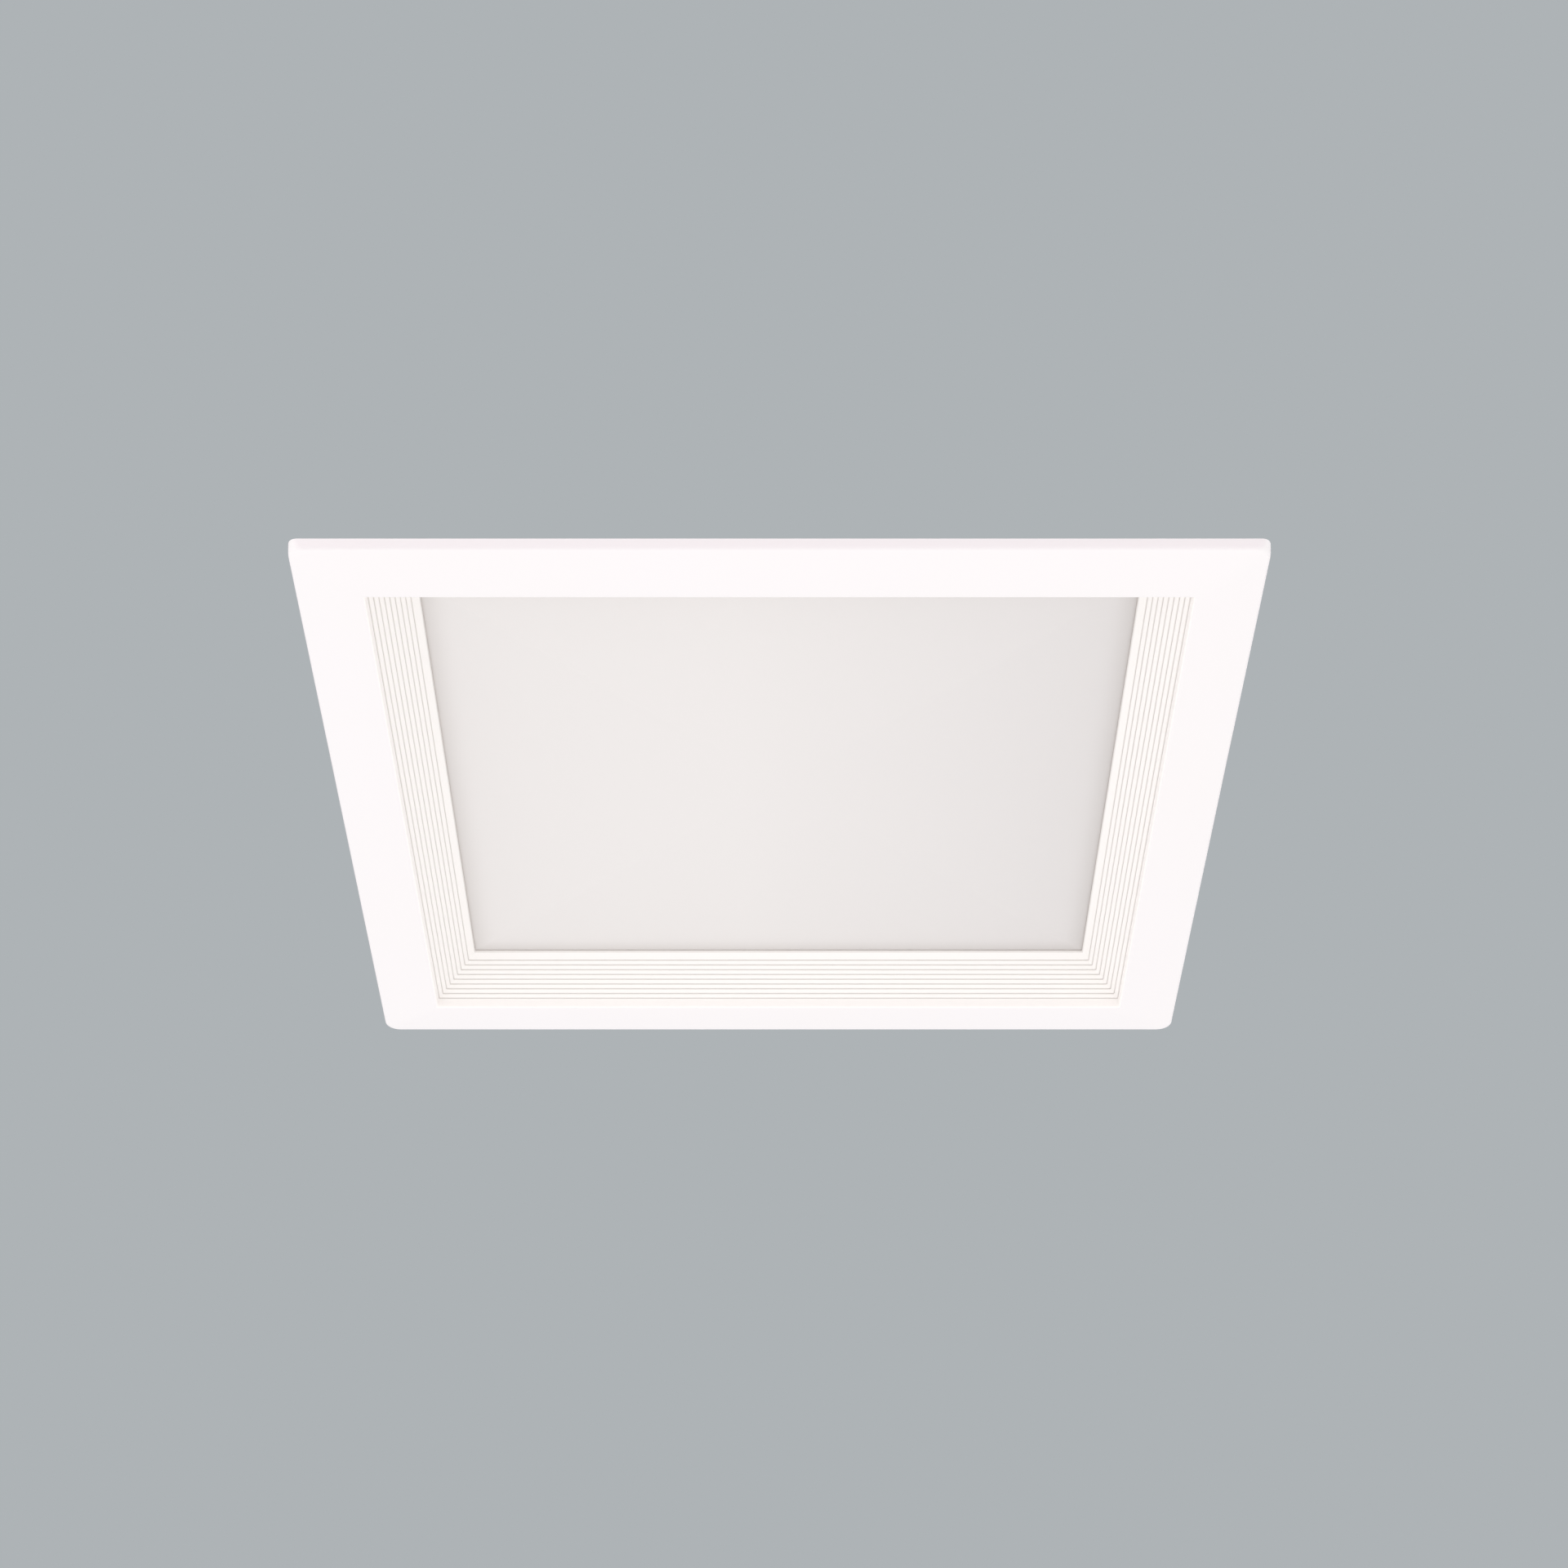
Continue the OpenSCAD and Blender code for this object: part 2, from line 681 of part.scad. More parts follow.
// The driver tray: a moulded box with posts for its board, its cover and the cable clamp
module cable_holes(radius, y, length)
    for (x = [-1, 1]) translate([x * entry_pitch / 2, y, entry_z])
        rotate([-90, 0, 0]) cylinder(h = length, r = radius);

module at_board_posts() {
    for (x = [-1, 1], y = post_ys) translate([x * post_x, y]) children();
}

module at_cover_posts() {
    for (x = [-1, 1], y = cover_post_ys) translate([x * cover_post_x, y]) children();
}

module driver_tray() color("whitesmoke") difference() {
    union() {
        difference() {
            box([-tray_w / 2, tray_start, tray_z], [tray_w / 2, tray_end, tray_rim_z]);
            box([-tray_w / 2 + tray_wall, tray_start + tray_wall, tray_floor_z],
                [tray_w / 2 - tray_wall, tray_end - tray_wall, tray_rim_z + 1]);
        }
        at_board_posts() translate([0, 0, tray_floor_z - e]) cylinder(h = post_h + e, r = boss_r);
        at_cover_posts() translate([0, 0, tray_floor_z - e])
            cylinder(h = tray_h - tray_wall - seat_gap + e, r = cover_post_r);
        box([-clamp_len / 2, clamp_y, tray_floor_z - e],
            [clamp_len / 2, clamp_y + clamp_d, entry_z - clamp_split]);
    }
    at_tray_screws() translate([0, 0, tray_floor_z]) screw_hole(tray_wall + 1);
    at_board_posts() translate([0, 0, circuit_z]) screw_hole(post_h - 1);
    at_cover_posts() translate([0, 0, tray_rim_z]) screw_hole(cover_screw_len);
    for (x = [-1, 1]) translate([x * clamp_screw_x, clamp_y + clamp_d / 2, entry_z - clamp_split])
        screw_hole(clamp_screw_depth);
    cable_holes(entry_wall_r + fit_gap, tray_end - tray_wall - 1, tray_wall + 2);
    cable_holes(cable_r + 0.3, clamp_y - 1, clamp_d + 2);
    translate([0, tray_start - 1, lead_exit_z]) rotate([-90, 0, 0])
        cylinder(h = tray_wall + 2, r = lead_hole_r - 0.5 + fit_gap);
}

module tray_screws() color("silver")
    at_tray_screws() translate([0, 0, tray_floor_z])
        pan_screw(tray_wall + standoff_h + roof_t - 1 - screw_end);

// The driver board and its parts
module driver_board() color("olivedrab") difference() {
    box([-circuit_w / 2, board_start, circuit_z],
        [circuit_w / 2, board_start + circuit_len, circuit_top_z]);
    at_board_posts() translate([0, 0, circuit_top_z]) screw_hole(circuit_t + 1);
}

module driver_board_screws() color("silver")
    at_board_posts() translate([0, 0, circuit_top_z]) pan_screw(circuit_t + post_h - 1 - screw_end);

// Places on the driver board, as [across, along] from the middle of its low-voltage end
transformer_at = [8, 38];
choke_at = [-12, 60];
film_at = [10, 78];
input_can_at = [-17, 40];
output_cans_at = [[-18, 20], [-6, 18]];
bridge_at = [15, 60];
tab_at = [25.25, 21];
chip_at = [9, 12.5];

module on_board(at) translate([at[0], board_start + at[1], circuit_top_z]) children();

// A block that stands on z = 0, round the Z axis
module block(size, z0 = 0) translate([-size[0] / 2, -size[1] / 2, z0]) cube(size);

// A transformer: a core of two E halves round a bobbin that holds the winding
transformer = [22, 20, 16];
bobbin_out = 4;
core_leg = 3.5;
core_yoke = 3;
cheek_t = 2.2;
module transformer_core() color("dimgray") on_board(transformer_at) difference() {
    block([transformer[0], transformer[1] - 2 * bobbin_out, transformer[2]]);
    block([transformer[0] - 2 * core_leg, transformer[1], transformer[2] - 2 * core_yoke], core_yoke);
}

module transformer_winding() color("khaki") on_board(transformer_at) {
    translate([0, 0, transformer[2] / 2]) rotate([90, 0, 0])
        cylinder(h = transformer[1] - 2 * cheek_t - 1, r = transformer[2] / 2 - core_yoke - seat_gap,
            center = true);
    for (side = [-1, 1]) translate([0, side * (transformer[1] - cheek_t - 1.6) / 2])
        block([transformer[0] - 2 * core_yoke, cheek_t, transformer[2] - 2]);
}

// A choke: a ring core standing on edge with its winding round it
choke_r = 7;
choke_core_t = 3;
choke_wire_t = 1.3;
module at_choke() on_board(choke_at)
    translate([0, 0, choke_r + choke_wire_t + seat_gap]) rotate([90, 0, 0]) children();

module choke_section(grow) translate([choke_r - choke_core_t / 2, 0])
    square([choke_core_t + 2 * grow, 2 * choke_core_t + 2 * grow], center = true);

module choke_core() color("darkgreen") at_choke() rotate_extrude() choke_section(0);

module choke_winding() color("chocolate") at_choke() difference() {
    rotate_extrude() difference() {
        choke_section(choke_wire_t);
        choke_section(0.2);
    }
    box([-1, -2 * choke_r, -2 * choke_core_t], [1, 2 * choke_r, 2 * choke_core_t]);
}

module film_capacitor() color("gold") on_board(film_at) block([18, 8, 14]);

module can(at, radius, height) on_board(at) {
    cylinder(h = height - 1, r = radius);
    cylinder(h = height, r = radius - 0.8);
}

module input_capacitor() color("navy") can(input_can_at, 6.5, 17);

module output_capacitors() color("navy") {
    can(output_cans_at[0], 5, 15);
    can(output_cans_at[1], 4, 13);
}

module bridge_rectifier() color("black") on_board(bridge_at) block([14, 4, 11]);

// The switching transistor is held flat on its aluminium tab
tab = [1.5, 14, 16];
transistor = [4.5, 10, 11];
module heat_tab() color("silver") on_board(tab_at) block(tab);

module switching_transistor() color("black")
    on_board(tab_at - [(tab[0] + transistor[0]) / 2, 0]) block(transistor, 2);

module controller_chip() color("black") on_board(chip_at) block([6, 5, 1.5]);

// The fuse stands beside the board's post, next to the terminals
fuse_r = 4.2;
fuse_at = [-post_x + fuse_r, post_ys[1] - board_start + fuse_r + 2];
module fuse() color("saddlebrown") can(fuse_at, fuse_r, 8);

module output_connector() color("ivory")
    box([-output_size[0] / 2, output_y, circuit_top_z],
        [output_size[0] / 2, output_y + output_size[1], circuit_top_z + output_size[2]]);

// The terminal block: each pole has a brass cage that a screw closes on the wire
module at_poles() {
    for (i = [0:pole_n - 1]) translate([(i - (pole_n - 1) / 2) * pole_w, 0]) children();
}

module cage_space(gap)
    box([-cage[0] / 2 - gap, terminal_front - 3 - cage[1] - gap, circuit_top_z],
        [cage[0] / 2 + gap, terminal_front - 3 + gap, circuit_top_z + cage[2] + gap]);

module terminal_block() color("lightgray") difference() {
    box([-pole_n * pole_w / 2, terminal_y, circuit_top_z],
        [pole_n * pole_w / 2, terminal_front, circuit_top_z + terminal_h]);
    at_poles() {
        translate([0, 0, -1]) cage_space(0.1);
        cage_space(0.1);
        translate([0, terminal_front - 4, wire_hole_z]) rotate([-90, 0, 0])
            cylinder(h = 5, r = 2.2);
        translate([0, terminal_front - 3 - cage[1] / 2, circuit_top_z + cage[2] - 1])
            cylinder(h = terminal_h, r = 2.4);
    }
}

module terminal_clamps() color("goldenrod") at_poles() difference() {
    cage_space(0);
    translate([0, terminal_front - 4 - cage[1], wire_hole_z]) rotate([-90, 0, 0])
        cylinder(h = cage[1] + 2, r = 1.8);
}

module terminal_screws() color("silver") at_poles()
    translate([0, terminal_front - 3 - cage[1] / 2, circuit_top_z + cage[2]]) difference() {
        cylinder(h = 3.6, r = 2.2);
        box([-3, -0.4, 2.6], [3, 0.4, 5]);
    }

// The cable clamp: a bar that two screws pull down on the cables
clamp_top_z = entry_z + cable_r + 2.6;
module cable_clamp() color("whitesmoke") difference() {
    box([-clamp_len / 2, clamp_y, entry_z + clamp_split],
        [clamp_len / 2, clamp_y + clamp_d, clamp_top_z]);
    cable_holes(cable_r + 0.3, clamp_y - 1, clamp_d + 2);
    for (x = [-1, 1]) translate([x * clamp_screw_x, clamp_y + clamp_d / 2, clamp_top_z])
        screw_hole(clamp_top_z - entry_z);
}

module cable_clamp_screws() color("silver")
    for (x = [-1, 1]) translate([x * clamp_screw_x, clamp_y + clamp_d / 2, clamp_top_z])
        pan_screw(clamp_top_z - entry_z + clamp_split + clamp_screw_depth - screw_end);

module cable_grommets() color("dimgray")
    for (x = [-1, 1]) translate([x * entry_pitch / 2, tray_end, entry_z]) rotate([-90, 0, 0])
        grommet(cable_r, entry_wall_r, cable_r + grommet_t + 1, tray_wall);

// The cover and the terminal lid share one hinge: knuckles in turn along a steel pin
knuckle_len = (tray_w - 2) / 5;
module knuckle(index, reach_to) difference() {
    x0 = -tray_w / 2 + 1 + index * knuckle_len + seat_gap / 2;
    x1 = x0 + knuckle_len - seat_gap;
    union() {
        translate([x0, hinge_y, hinge_z]) rotate([0, 90, 0]) cylinder(h = x1 - x0, r = knuckle_r);
        box([x0, min(hinge_y, reach_to), tray_rim_z], [x1, max(hinge_y, reach_to), cover_top_z]);
    }
    translate([x0 - 1, hinge_y, hinge_z]) rotate([0, 90, 0])
        cylinder(h = knuckle_len + 2, r = lid_pin_r + fit_gap);
}

cover_in = tray_w / 2 - tray_wall - seat_gap;
module driver_cover() color("whitesmoke") difference() {
    union() {
        box([-tray_w / 2, tray_start, tray_rim_z],
            [tray_w / 2, hinge_y - knuckle_reach, cover_top_z]);
        difference() {
            box([-cover_in, tray_start + tray_wall + seat_gap, tray_rim_z - cover_rim],
                [cover_in, hinge_y - knuckle_reach, tray_rim_z + e]);
            box([-cover_in + 1.5, tray_start + tray_wall + 1.8, tray_rim_z - cover_rim - 1],
                [cover_in - 1.5, hinge_y - knuckle_reach - 1.5, tray_rim_z + 1]);
            at_cover_posts() translate([0, 0, tray_rim_z - cover_rim - 1])
                cylinder(h = cover_rim + 1, r = cover_post_r + seat_gap);
        }
        for (i = [0, 2, 4]) knuckle(i, hinge_y - knuckle_reach - 1);
    }
    at_cover_posts() translate([0, 0, cover_top_z]) screw_hole(cover_t + 1);
}

module cover_screws() color("silver")
    at_cover_posts() translate([0, 0, cover_top_z]) pan_screw(cover_t + cover_screw_len - screw_end);

module terminal_lid() color("whitesmoke") {
    box([-tray_w / 2, hinge_y + knuckle_reach, tray_rim_z], [tray_w / 2, tray_end, cover_top_z]);
    box([-8, tray_end - e, tray_rim_z + 0.6], [8, tray_end + tab_len, cover_top_z]);
    for (i = [1, 3]) knuckle(i, hinge_y + knuckle_reach + 1);
}

module lid_pin() color("silver")
    translate([-tray_w / 2 + 0.4, hinge_y, hinge_z]) rotate([0, 90, 0])
        cylinder(h = tray_w - 0.8, r = lid_pin_r);

// Spring clips. on_side(1) draws on the right, and on_side(-1) mirrors it to the left
module on_side(side) {
    if (side > 0) children();
    else mirror([1, 0, 0]) children();
}

// A shape drawn in the clip's plane as [outward, up] from the pin, between two distances in y
module in_clip_plane(y0, y1)
    translate([clip_x, y1, clip_z]) rotate([90, 0, 0]) linear_extrude(y1 - y0) children();

module clip_bracket(side) color("silver") on_side(side) difference() {
    union() {
        box([housing_out, -bracket_half, clip_z - bracket_low],
            [bracket_x, bracket_half, clip_z + bracket_high]);
        for (y = [-bracket_in - bracket_t, bracket_in]) in_clip_plane(y, y + bracket_t) {
            translate([housing_out - clip_x, -bracket_low + 2])
                square([clip_x - housing_out, bracket_low - 2 + bracket_ear_r]);
            circle(bracket_ear_r);
        }
    }
    in_clip_plane(-bracket_half, bracket_half) circle(pin_r + fit_gap);
    for (y = [-1, 1]) translate([housing_out, y * bracket_screws / 2, clip_z])
        rotate([0, 90, 0]) cylinder(h = 4 * bracket_t, r = screw_r + fit_gap, center = true);
}

module bracket_screw_pair(side) color("silver") on_side(side)
    for (y = [-1, 1]) translate([bracket_x, y * bracket_screws / 2, clip_z]) rotate([0, 90, 0])
        pan_screw(bracket_t + housing_wall + 0.5);

pin_half = bracket_in + bracket_t + touch_gap;
module clip_pin(side) color("silver") on_side(side) {
    in_clip_plane(-pin_half - pin_head_t, pin_half + pin_head_t) circle(pin_r);
    for (y = [-pin_half - pin_head_t, pin_half]) in_clip_plane(y, y + pin_head_t) circle(pin_head_r);
}

// The arm is one stamping: a plate with a flange and an ear down each side. The ear's square heel
// meets the bracket and stops the arm at rest
module clip_arm(side) color("silver") on_side(side) {
    for (y = [-arm_w / 2, arm_in]) difference() {
        in_clip_plane(y, y + arm_t) {
            circle(ear_r);
            translate(heel) square([-heel[0], -heel[1]]);
            rotate(-arm_droop) translate([0, arm_top - arm_flange])
                square([arm_len - tip_len - 1, arm_flange]);
        }
        in_clip_plane(y - 1, y + arm_t + 1) circle(pin_r + fit_gap);
    }
    in_clip_plane(-arm_in - e, arm_in + e) rotate(-arm_droop)
        translate([plate_start, arm_top - arm_t]) square([arm_len - tip_len - 1 - plate_start, arm_t]);
    in_clip_plane(-arm_w / 2 + 2, arm_w / 2 - 2) rotate(-arm_droop)
        translate([arm_len - tip_len - 2, arm_top - arm_t]) square([tip_len + 2, arm_t]);
}

module clip_tip(side) color("dimgray") on_side(side) difference() {
    in_clip_plane(-arm_w / 2 + 2 - tip_wall, arm_w / 2 - 2 + tip_wall) rotate(-arm_droop) {
        translate([arm_len - tip_len, arm_top - arm_t - tip_wall])
            square([tip_len, arm_t + 2 * tip_wall]);
        translate([arm_len, arm_top - arm_t / 2]) circle(arm_t / 2 + tip_wall);
    }
    in_clip_plane(-arm_w / 2 + 2 - fit_gap, arm_w / 2 - 2 + fit_gap) rotate(-arm_droop)
        translate([arm_len - tip_len - 1, arm_top - arm_t - fit_gap])
            square([tip_len + 1 + fit_gap, arm_t + 2 * fit_gap]);
}

// The double torsion spring is one wire: a leg down the bracket, a coil, the loop that presses on
// the arm, and the same again in mirror image
rings_a_turn = 8;
coil_angle = 360 * coil_turns + 90 + arm_droop;
coil_rings = round(coil_angle * rings_a_turn / 360);
coil_width = coil_pitch * coil_angle / 360;
coil_end = arm_in - touch_gap - wire_r;
coil_start = coil_end - coil_width;
leg_len = bracket_low - 1;
function coil_pt(share) = [
    clip_x + coil_r * cos(180 - share * coil_angle),
    -coil_end + share * coil_width,
    clip_z + coil_r * sin(180 - share * coil_angle)
];
function arm_pt(along, above, y) = [
    clip_x + along * arm_dir[0] + above * arm_up[0],
    y,
    clip_z + along * arm_dir[1] + above * arm_up[1]
];
half_spring = concat(
    [for (t = [1, 0.5]) [clip_x - coil_r, -coil_end, clip_z - t * leg_len]],
    [for (i = [0:coil_rings]) coil_pt(i / coil_rings)],
    [for (t = [0.33, 0.66]) arm_pt(t * (loop_len - coil_start), coil_r, -coil_start)],
    [for (a = [0:22.5:67.5])
        arm_pt(loop_len - coil_start * (1 - sin(a)), coil_r, -coil_start * cos(a))]
);
spring_path = concat(
    half_spring,
    [arm_pt(loop_len, coil_r, 0)],
    [for (i = [len(half_spring) - 1:-1:0]) [half_spring[i][0], -half_spring[i][1], half_spring[i][2]]]
);
// Least gap between points of the wire that are more than half a turn apart along it
spring_gap = min([for (i = [0:len(half_spring) - 1])
    for (j = [i + rings_a_turn / 2:len(spring_path) - 1])
        norm(spring_path[i] - spring_path[j])]) - 2 * wire_r;
echo(spring_gap = spring_gap);

module clip_spring(side) color("silver") on_side(side)
    tube(spring_path, wire_r, 6, [0, 1, 0]);

module right_clip_bracket() clip_bracket(1);
module right_bracket_screws() bracket_screw_pair(1);
module right_clip_pin() clip_pin(1);
module right_clip_arm() clip_arm(1);
module right_clip_tip() clip_tip(1);
module right_clip_spring() clip_spring(1);
module left_clip_bracket() clip_bracket(-1);
module left_bracket_screws() bracket_screw_pair(-1);
module left_clip_pin() clip_pin(-1);
module left_clip_arm() clip_arm(-1);
module left_clip_tip() clip_tip(-1);
module left_clip_spring() clip_spring(-1);

trim_frame();
opal_panel();
panel_gasket();
reflector();
led_board();
led_packages();
led_connector();
board_screws();
thermal_pad();
housing();
housing_screws();
heat_sink();
lead_grommets();
red_lead();
black_lead();
driver_tray();
tray_screws();
driver_board();
driver_board_screws();
transformer_core();
transformer_winding();
choke_core();
choke_winding();
film_capacitor();
input_capacitor();
output_capacitors();
bridge_rectifier();
switching_transistor();
heat_tab();
controller_chip();
fuse();
output_connector();
terminal_block();
terminal_clamps();
terminal_screws();
cable_clamp();
cable_clamp_screws();
cable_grommets();
driver_cover();
cover_screws();
terminal_lid();
lid_pin();
right_clip_bracket();
right_bracket_screws();
right_clip_pin();
right_clip_arm();
right_clip_tip();
right_clip_spring();
left_clip_bracket();
left_bracket_screws();
left_clip_pin();
left_clip_arm();
left_clip_tip();
left_clip_spring();
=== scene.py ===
"""A square recessed downlight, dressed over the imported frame. The trim, its grooved recess and the
opal panel show from the room. The housing, driver box and spring clips sit above the ceiling. The
frame is in metres, and MM turns this script's millimetres into metres."""
from math import atan2, cos, degrees, pi, radians, sin, tan

import bmesh
import bpy
import numpy as np
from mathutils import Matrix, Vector


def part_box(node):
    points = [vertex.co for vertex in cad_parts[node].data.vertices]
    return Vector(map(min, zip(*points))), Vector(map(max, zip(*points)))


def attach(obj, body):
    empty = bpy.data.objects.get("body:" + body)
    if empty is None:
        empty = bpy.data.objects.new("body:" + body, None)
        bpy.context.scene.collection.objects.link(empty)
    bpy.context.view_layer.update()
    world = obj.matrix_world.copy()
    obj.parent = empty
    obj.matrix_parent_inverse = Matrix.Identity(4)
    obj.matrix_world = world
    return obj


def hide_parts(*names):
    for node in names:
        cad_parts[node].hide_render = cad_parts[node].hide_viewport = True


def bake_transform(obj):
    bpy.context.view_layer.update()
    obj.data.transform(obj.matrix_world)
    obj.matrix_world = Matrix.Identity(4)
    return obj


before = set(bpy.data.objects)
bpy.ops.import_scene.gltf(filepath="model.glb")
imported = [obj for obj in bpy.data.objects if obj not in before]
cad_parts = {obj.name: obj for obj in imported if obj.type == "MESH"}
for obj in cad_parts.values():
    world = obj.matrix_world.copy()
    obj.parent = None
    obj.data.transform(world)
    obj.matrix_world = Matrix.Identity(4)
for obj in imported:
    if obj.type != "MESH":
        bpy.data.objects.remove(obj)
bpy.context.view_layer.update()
MM = 0.001


# Camera
# The photograph looks up at the ceiling from 0.8 m away. Its lens and place come from the trim's
# four edges and the lip, with the trim taken as 225 mm wide. The near and far edges are level and
# the light stands 12 pixels left, so the photograph was cropped by as much.
def new_object(name, data):
    """An object that is linked to the scene."""
    made = bpy.data.objects.new(name, data)
    bpy.context.scene.collection.objects.link(made)
    return made


camera_at = (-1.1, -685.6, -442.0)
camera_pitch = radians(33.511)
focal_px, crop_px, frame_px, sensor = 3882.3, 11.5, 1920, 36
camera_data = bpy.data.cameras.new("camera")
camera_data.sensor_width = sensor
camera_data.lens = focal_px / frame_px * sensor
camera_data.shift_x = crop_px / frame_px
camera = new_object("camera", camera_data)
camera.location = Vector(camera_at) * MM
looking = Vector((0, cos(camera_pitch), sin(camera_pitch)))
camera.rotation_euler = looking.to_track_quat("-Z", "Y").to_euler()
bpy.context.scene.camera = camera
bpy.context.scene.view_settings.view_transform = "Standard"


# Stage
# A flat grey ceiling that shows only from below and a pale floor that shows only from above, so
# that neither hides the light from the other side, with soft lamps below and above.
def feed(tree, node, inputs):
    """Gives sockets of a node, by name or number, a value, an output, or a node's first output."""
    for key, value in inputs.items():
        if isinstance(value, bpy.types.Node):
            value = value.outputs[0]
        if isinstance(value, bpy.types.NodeSocket):
            tree.links.new(value, node.inputs[key])
        else:
            node.inputs[key].default_value = value


def add_node(tree, kind, inputs=None, **settings):
    """Adds a node of a kind with its inputs and settings."""
    made = tree.nodes.new("ShaderNode" + kind)
    for key, value in settings.items():
        setattr(made, key, value)
    feed(tree, made, inputs or {})
    return made


def empty_tree(owner):
    """Turns nodes on for a material or world and returns its emptied tree."""
    owner.use_nodes = True
    owner.node_tree.nodes.clear()
    return owner.node_tree


def calc(tree, operation, a, b=0.0):
    """The output of one Math node."""
    return add_node(tree, "Math", {0: a, 1: b}, operation=operation).outputs[0]


def object_place(tree):
    """A point's place on its own object, in metres."""
    return add_node(tree, "TexCoord").outputs["Object"]


def one_sided(name, colour, from_front):
    """A stage material that only camera rays see. From the front it is lit paper that fades into an
    even glow between the distances of floor_fade. From the back it is the glow alone."""
    material = bpy.data.materials.new(name)
    tree = empty_tree(material)
    side = add_node(tree, "NewGeometry").outputs["Backfacing"]
    if from_front:
        side = calc(tree, "SUBTRACT", 1.0, side)
    seen = calc(tree, "MULTIPLY", add_node(tree, "LightPath").outputs["Is Camera Ray"], side)
    surface = add_node(tree, "Emission", {"Color": (*colour, 1)})
    if from_front:
        away = add_node(tree, "VectorMath", {0: object_place(tree)}, operation="LENGTH")
        fade = add_node(tree, "MapRange", {0: away.outputs["Value"], 1: floor_fade[0], 2: floor_fade[1]})
        paper = add_node(tree, "BsdfDiffuse", {"Color": (*colour, 1)})
        surface = add_node(tree, "MixShader", {0: fade, 1: paper, 2: surface})
    clear = add_node(tree, "BsdfTransparent")
    mixed = add_node(tree, "MixShader", {0: seen, 1: clear, 2: surface})
    add_node(tree, "OutputMaterial", {0: mixed})
    return material


def stage_plane(name, z, half, material, hole=0.0):
    """A level square sheet at height z, with a square hole round the light."""
    corners = np.array([(-1, -1), (1, -1), (1, 1), (-1, 1)])
    rings = np.vstack([corners * half, corners * hole])
    points = np.column_stack([rings, np.full(8, z)]) * MM
    faces = [(i, (i + 1) % 4, 4 + (i + 1) % 4, 4 + i) for i in range(4)] if hole else [(0, 1, 2, 3)]
    mesh = bpy.data.meshes.new(name)
    mesh.from_pydata(points.tolist(), [], faces)
    mesh.materials.append(material)
    new_object(name, mesh)


ceiling_grey = (0.423, 0.451, 0.468)
floor_pale = (0.66, 0.68, 0.69)
ceiling_z, ceiling_hole, stage_half, floor_fade = 4.95, 102.5, 4000, (0.4, 1.8)
ceiling_paint = one_sided("ceiling_paint", ceiling_grey, False)
stage_plane("ceiling", ceiling_z, stage_half, ceiling_paint, ceiling_hole)
stage_plane("floor", 0, stage_half, one_sided("floor_paper", floor_pale, True))

# The world lights the object with a fill that is strongest from the sides and a little stronger
# from the left. A camera, mirror or clear surface sees the plain backdrop instead.
fill_below, fill_side, fill_above, fill_left = 0.97, 1.22, 0.42, 0.05
world = bpy.data.worlds.new("studio")
bpy.context.scene.world = world
sky = empty_tree(world)
rays = add_node(sky, "LightPath").outputs
mirrored_ray = calc(sky, "MAXIMUM", rays["Is Glossy Ray"], rays["Is Transmission Ray"])
seen_straight = calc(sky, "MAXIMUM", rays["Is Camera Ray"], mirrored_ray)
way = add_node(sky, "SeparateXYZ", {0: add_node(sky, "TexCoord").outputs["Generated"]}).outputs
below = add_node(sky, "MapRange", {0: way["Z"], 1: -1, 2: 0, 3: fill_below, 4: fill_side})
above = add_node(sky, "MapRange", {0: way["Z"], 1: 0, 2: 0.3, 3: fill_side, 4: fill_above})
leftward = calc(sky, "SUBTRACT", 1.0, calc(sky, "MULTIPLY", way["X"], fill_left))
level = calc(sky, "MULTIPLY", calc(sky, "MINIMUM", below, above), leftward)
fill = add_node(sky, "Background", {"Color": (1.0, 0.99, 0.99, 1), "Strength": level})
backdrop = add_node(sky, "Background", {"Color": (*floor_pale, 1), "Strength": 1.0})
mixed = add_node(sky, "MixShader", {0: seen_straight, 1: fill, 2: backdrop})
add_node(sky, "OutputWorld", {0: mixed})


def lamp(name, at, size, power, colour):
    """A square soft lamp at a place in metres, turned to the light's middle."""
    data = bpy.data.lights.new(name, "AREA")
    data.size, data.energy, data.color = size, power, colour
    made = new_object(name, data)
    made.location = at
    made.rotation_euler = (-Vector(at)).to_track_quat("-Z", "Y").to_euler()


lamp("room_lamp", (0.3, -1.5, -2.4), 2.4, 5, (1.0, 0.98, 0.95))
lamp("key_lamp", (-1.1, -1.1, 1.5), 2.3, 17, (1.0, 0.98, 0.96))
lamp("fill_lamp", (1.5, -0.3, 1.2), 1.7, 7, (0.96, 0.98, 1.0))
lamp("back_lamp", (0.3, 1.5, 1.4), 2.0, 12, (1.0, 0.99, 0.98))


# Trim frame
# One white powder-coated die casting: a gently crowned flange, a crest, a recess with nine fine
# grooves, and a thin lip that carries the panel. Eight screws from behind hold it to the housing.
join = np.concatenate


def stacked(*values):
    """Numbers and arrays side by side, as the columns of one array."""
    return np.stack(np.broadcast_arrays(*values), axis=-1)


def full_turn(steps):
    """Even angles once round."""
    return np.linspace(0, 2 * np.pi, steps, endpoint=False)


def gridded(points, loop=False):
    """A grid of points with four-cornered faces between neighbours. The ends of each row are
    joined, and with loop the first and last row too."""
    rows, columns = points.shape[:2]
    row, column = np.arange(rows if loop else rows - 1)[:, None], np.arange(columns)
    next_row, next_column = (row + 1) % rows, (column + 1) % columns
    quads = stacked(row * columns + column, row * columns + next_column,
                    next_row * columns + next_column, next_row * columns + column)
    return points, quads.reshape(-1, 4)


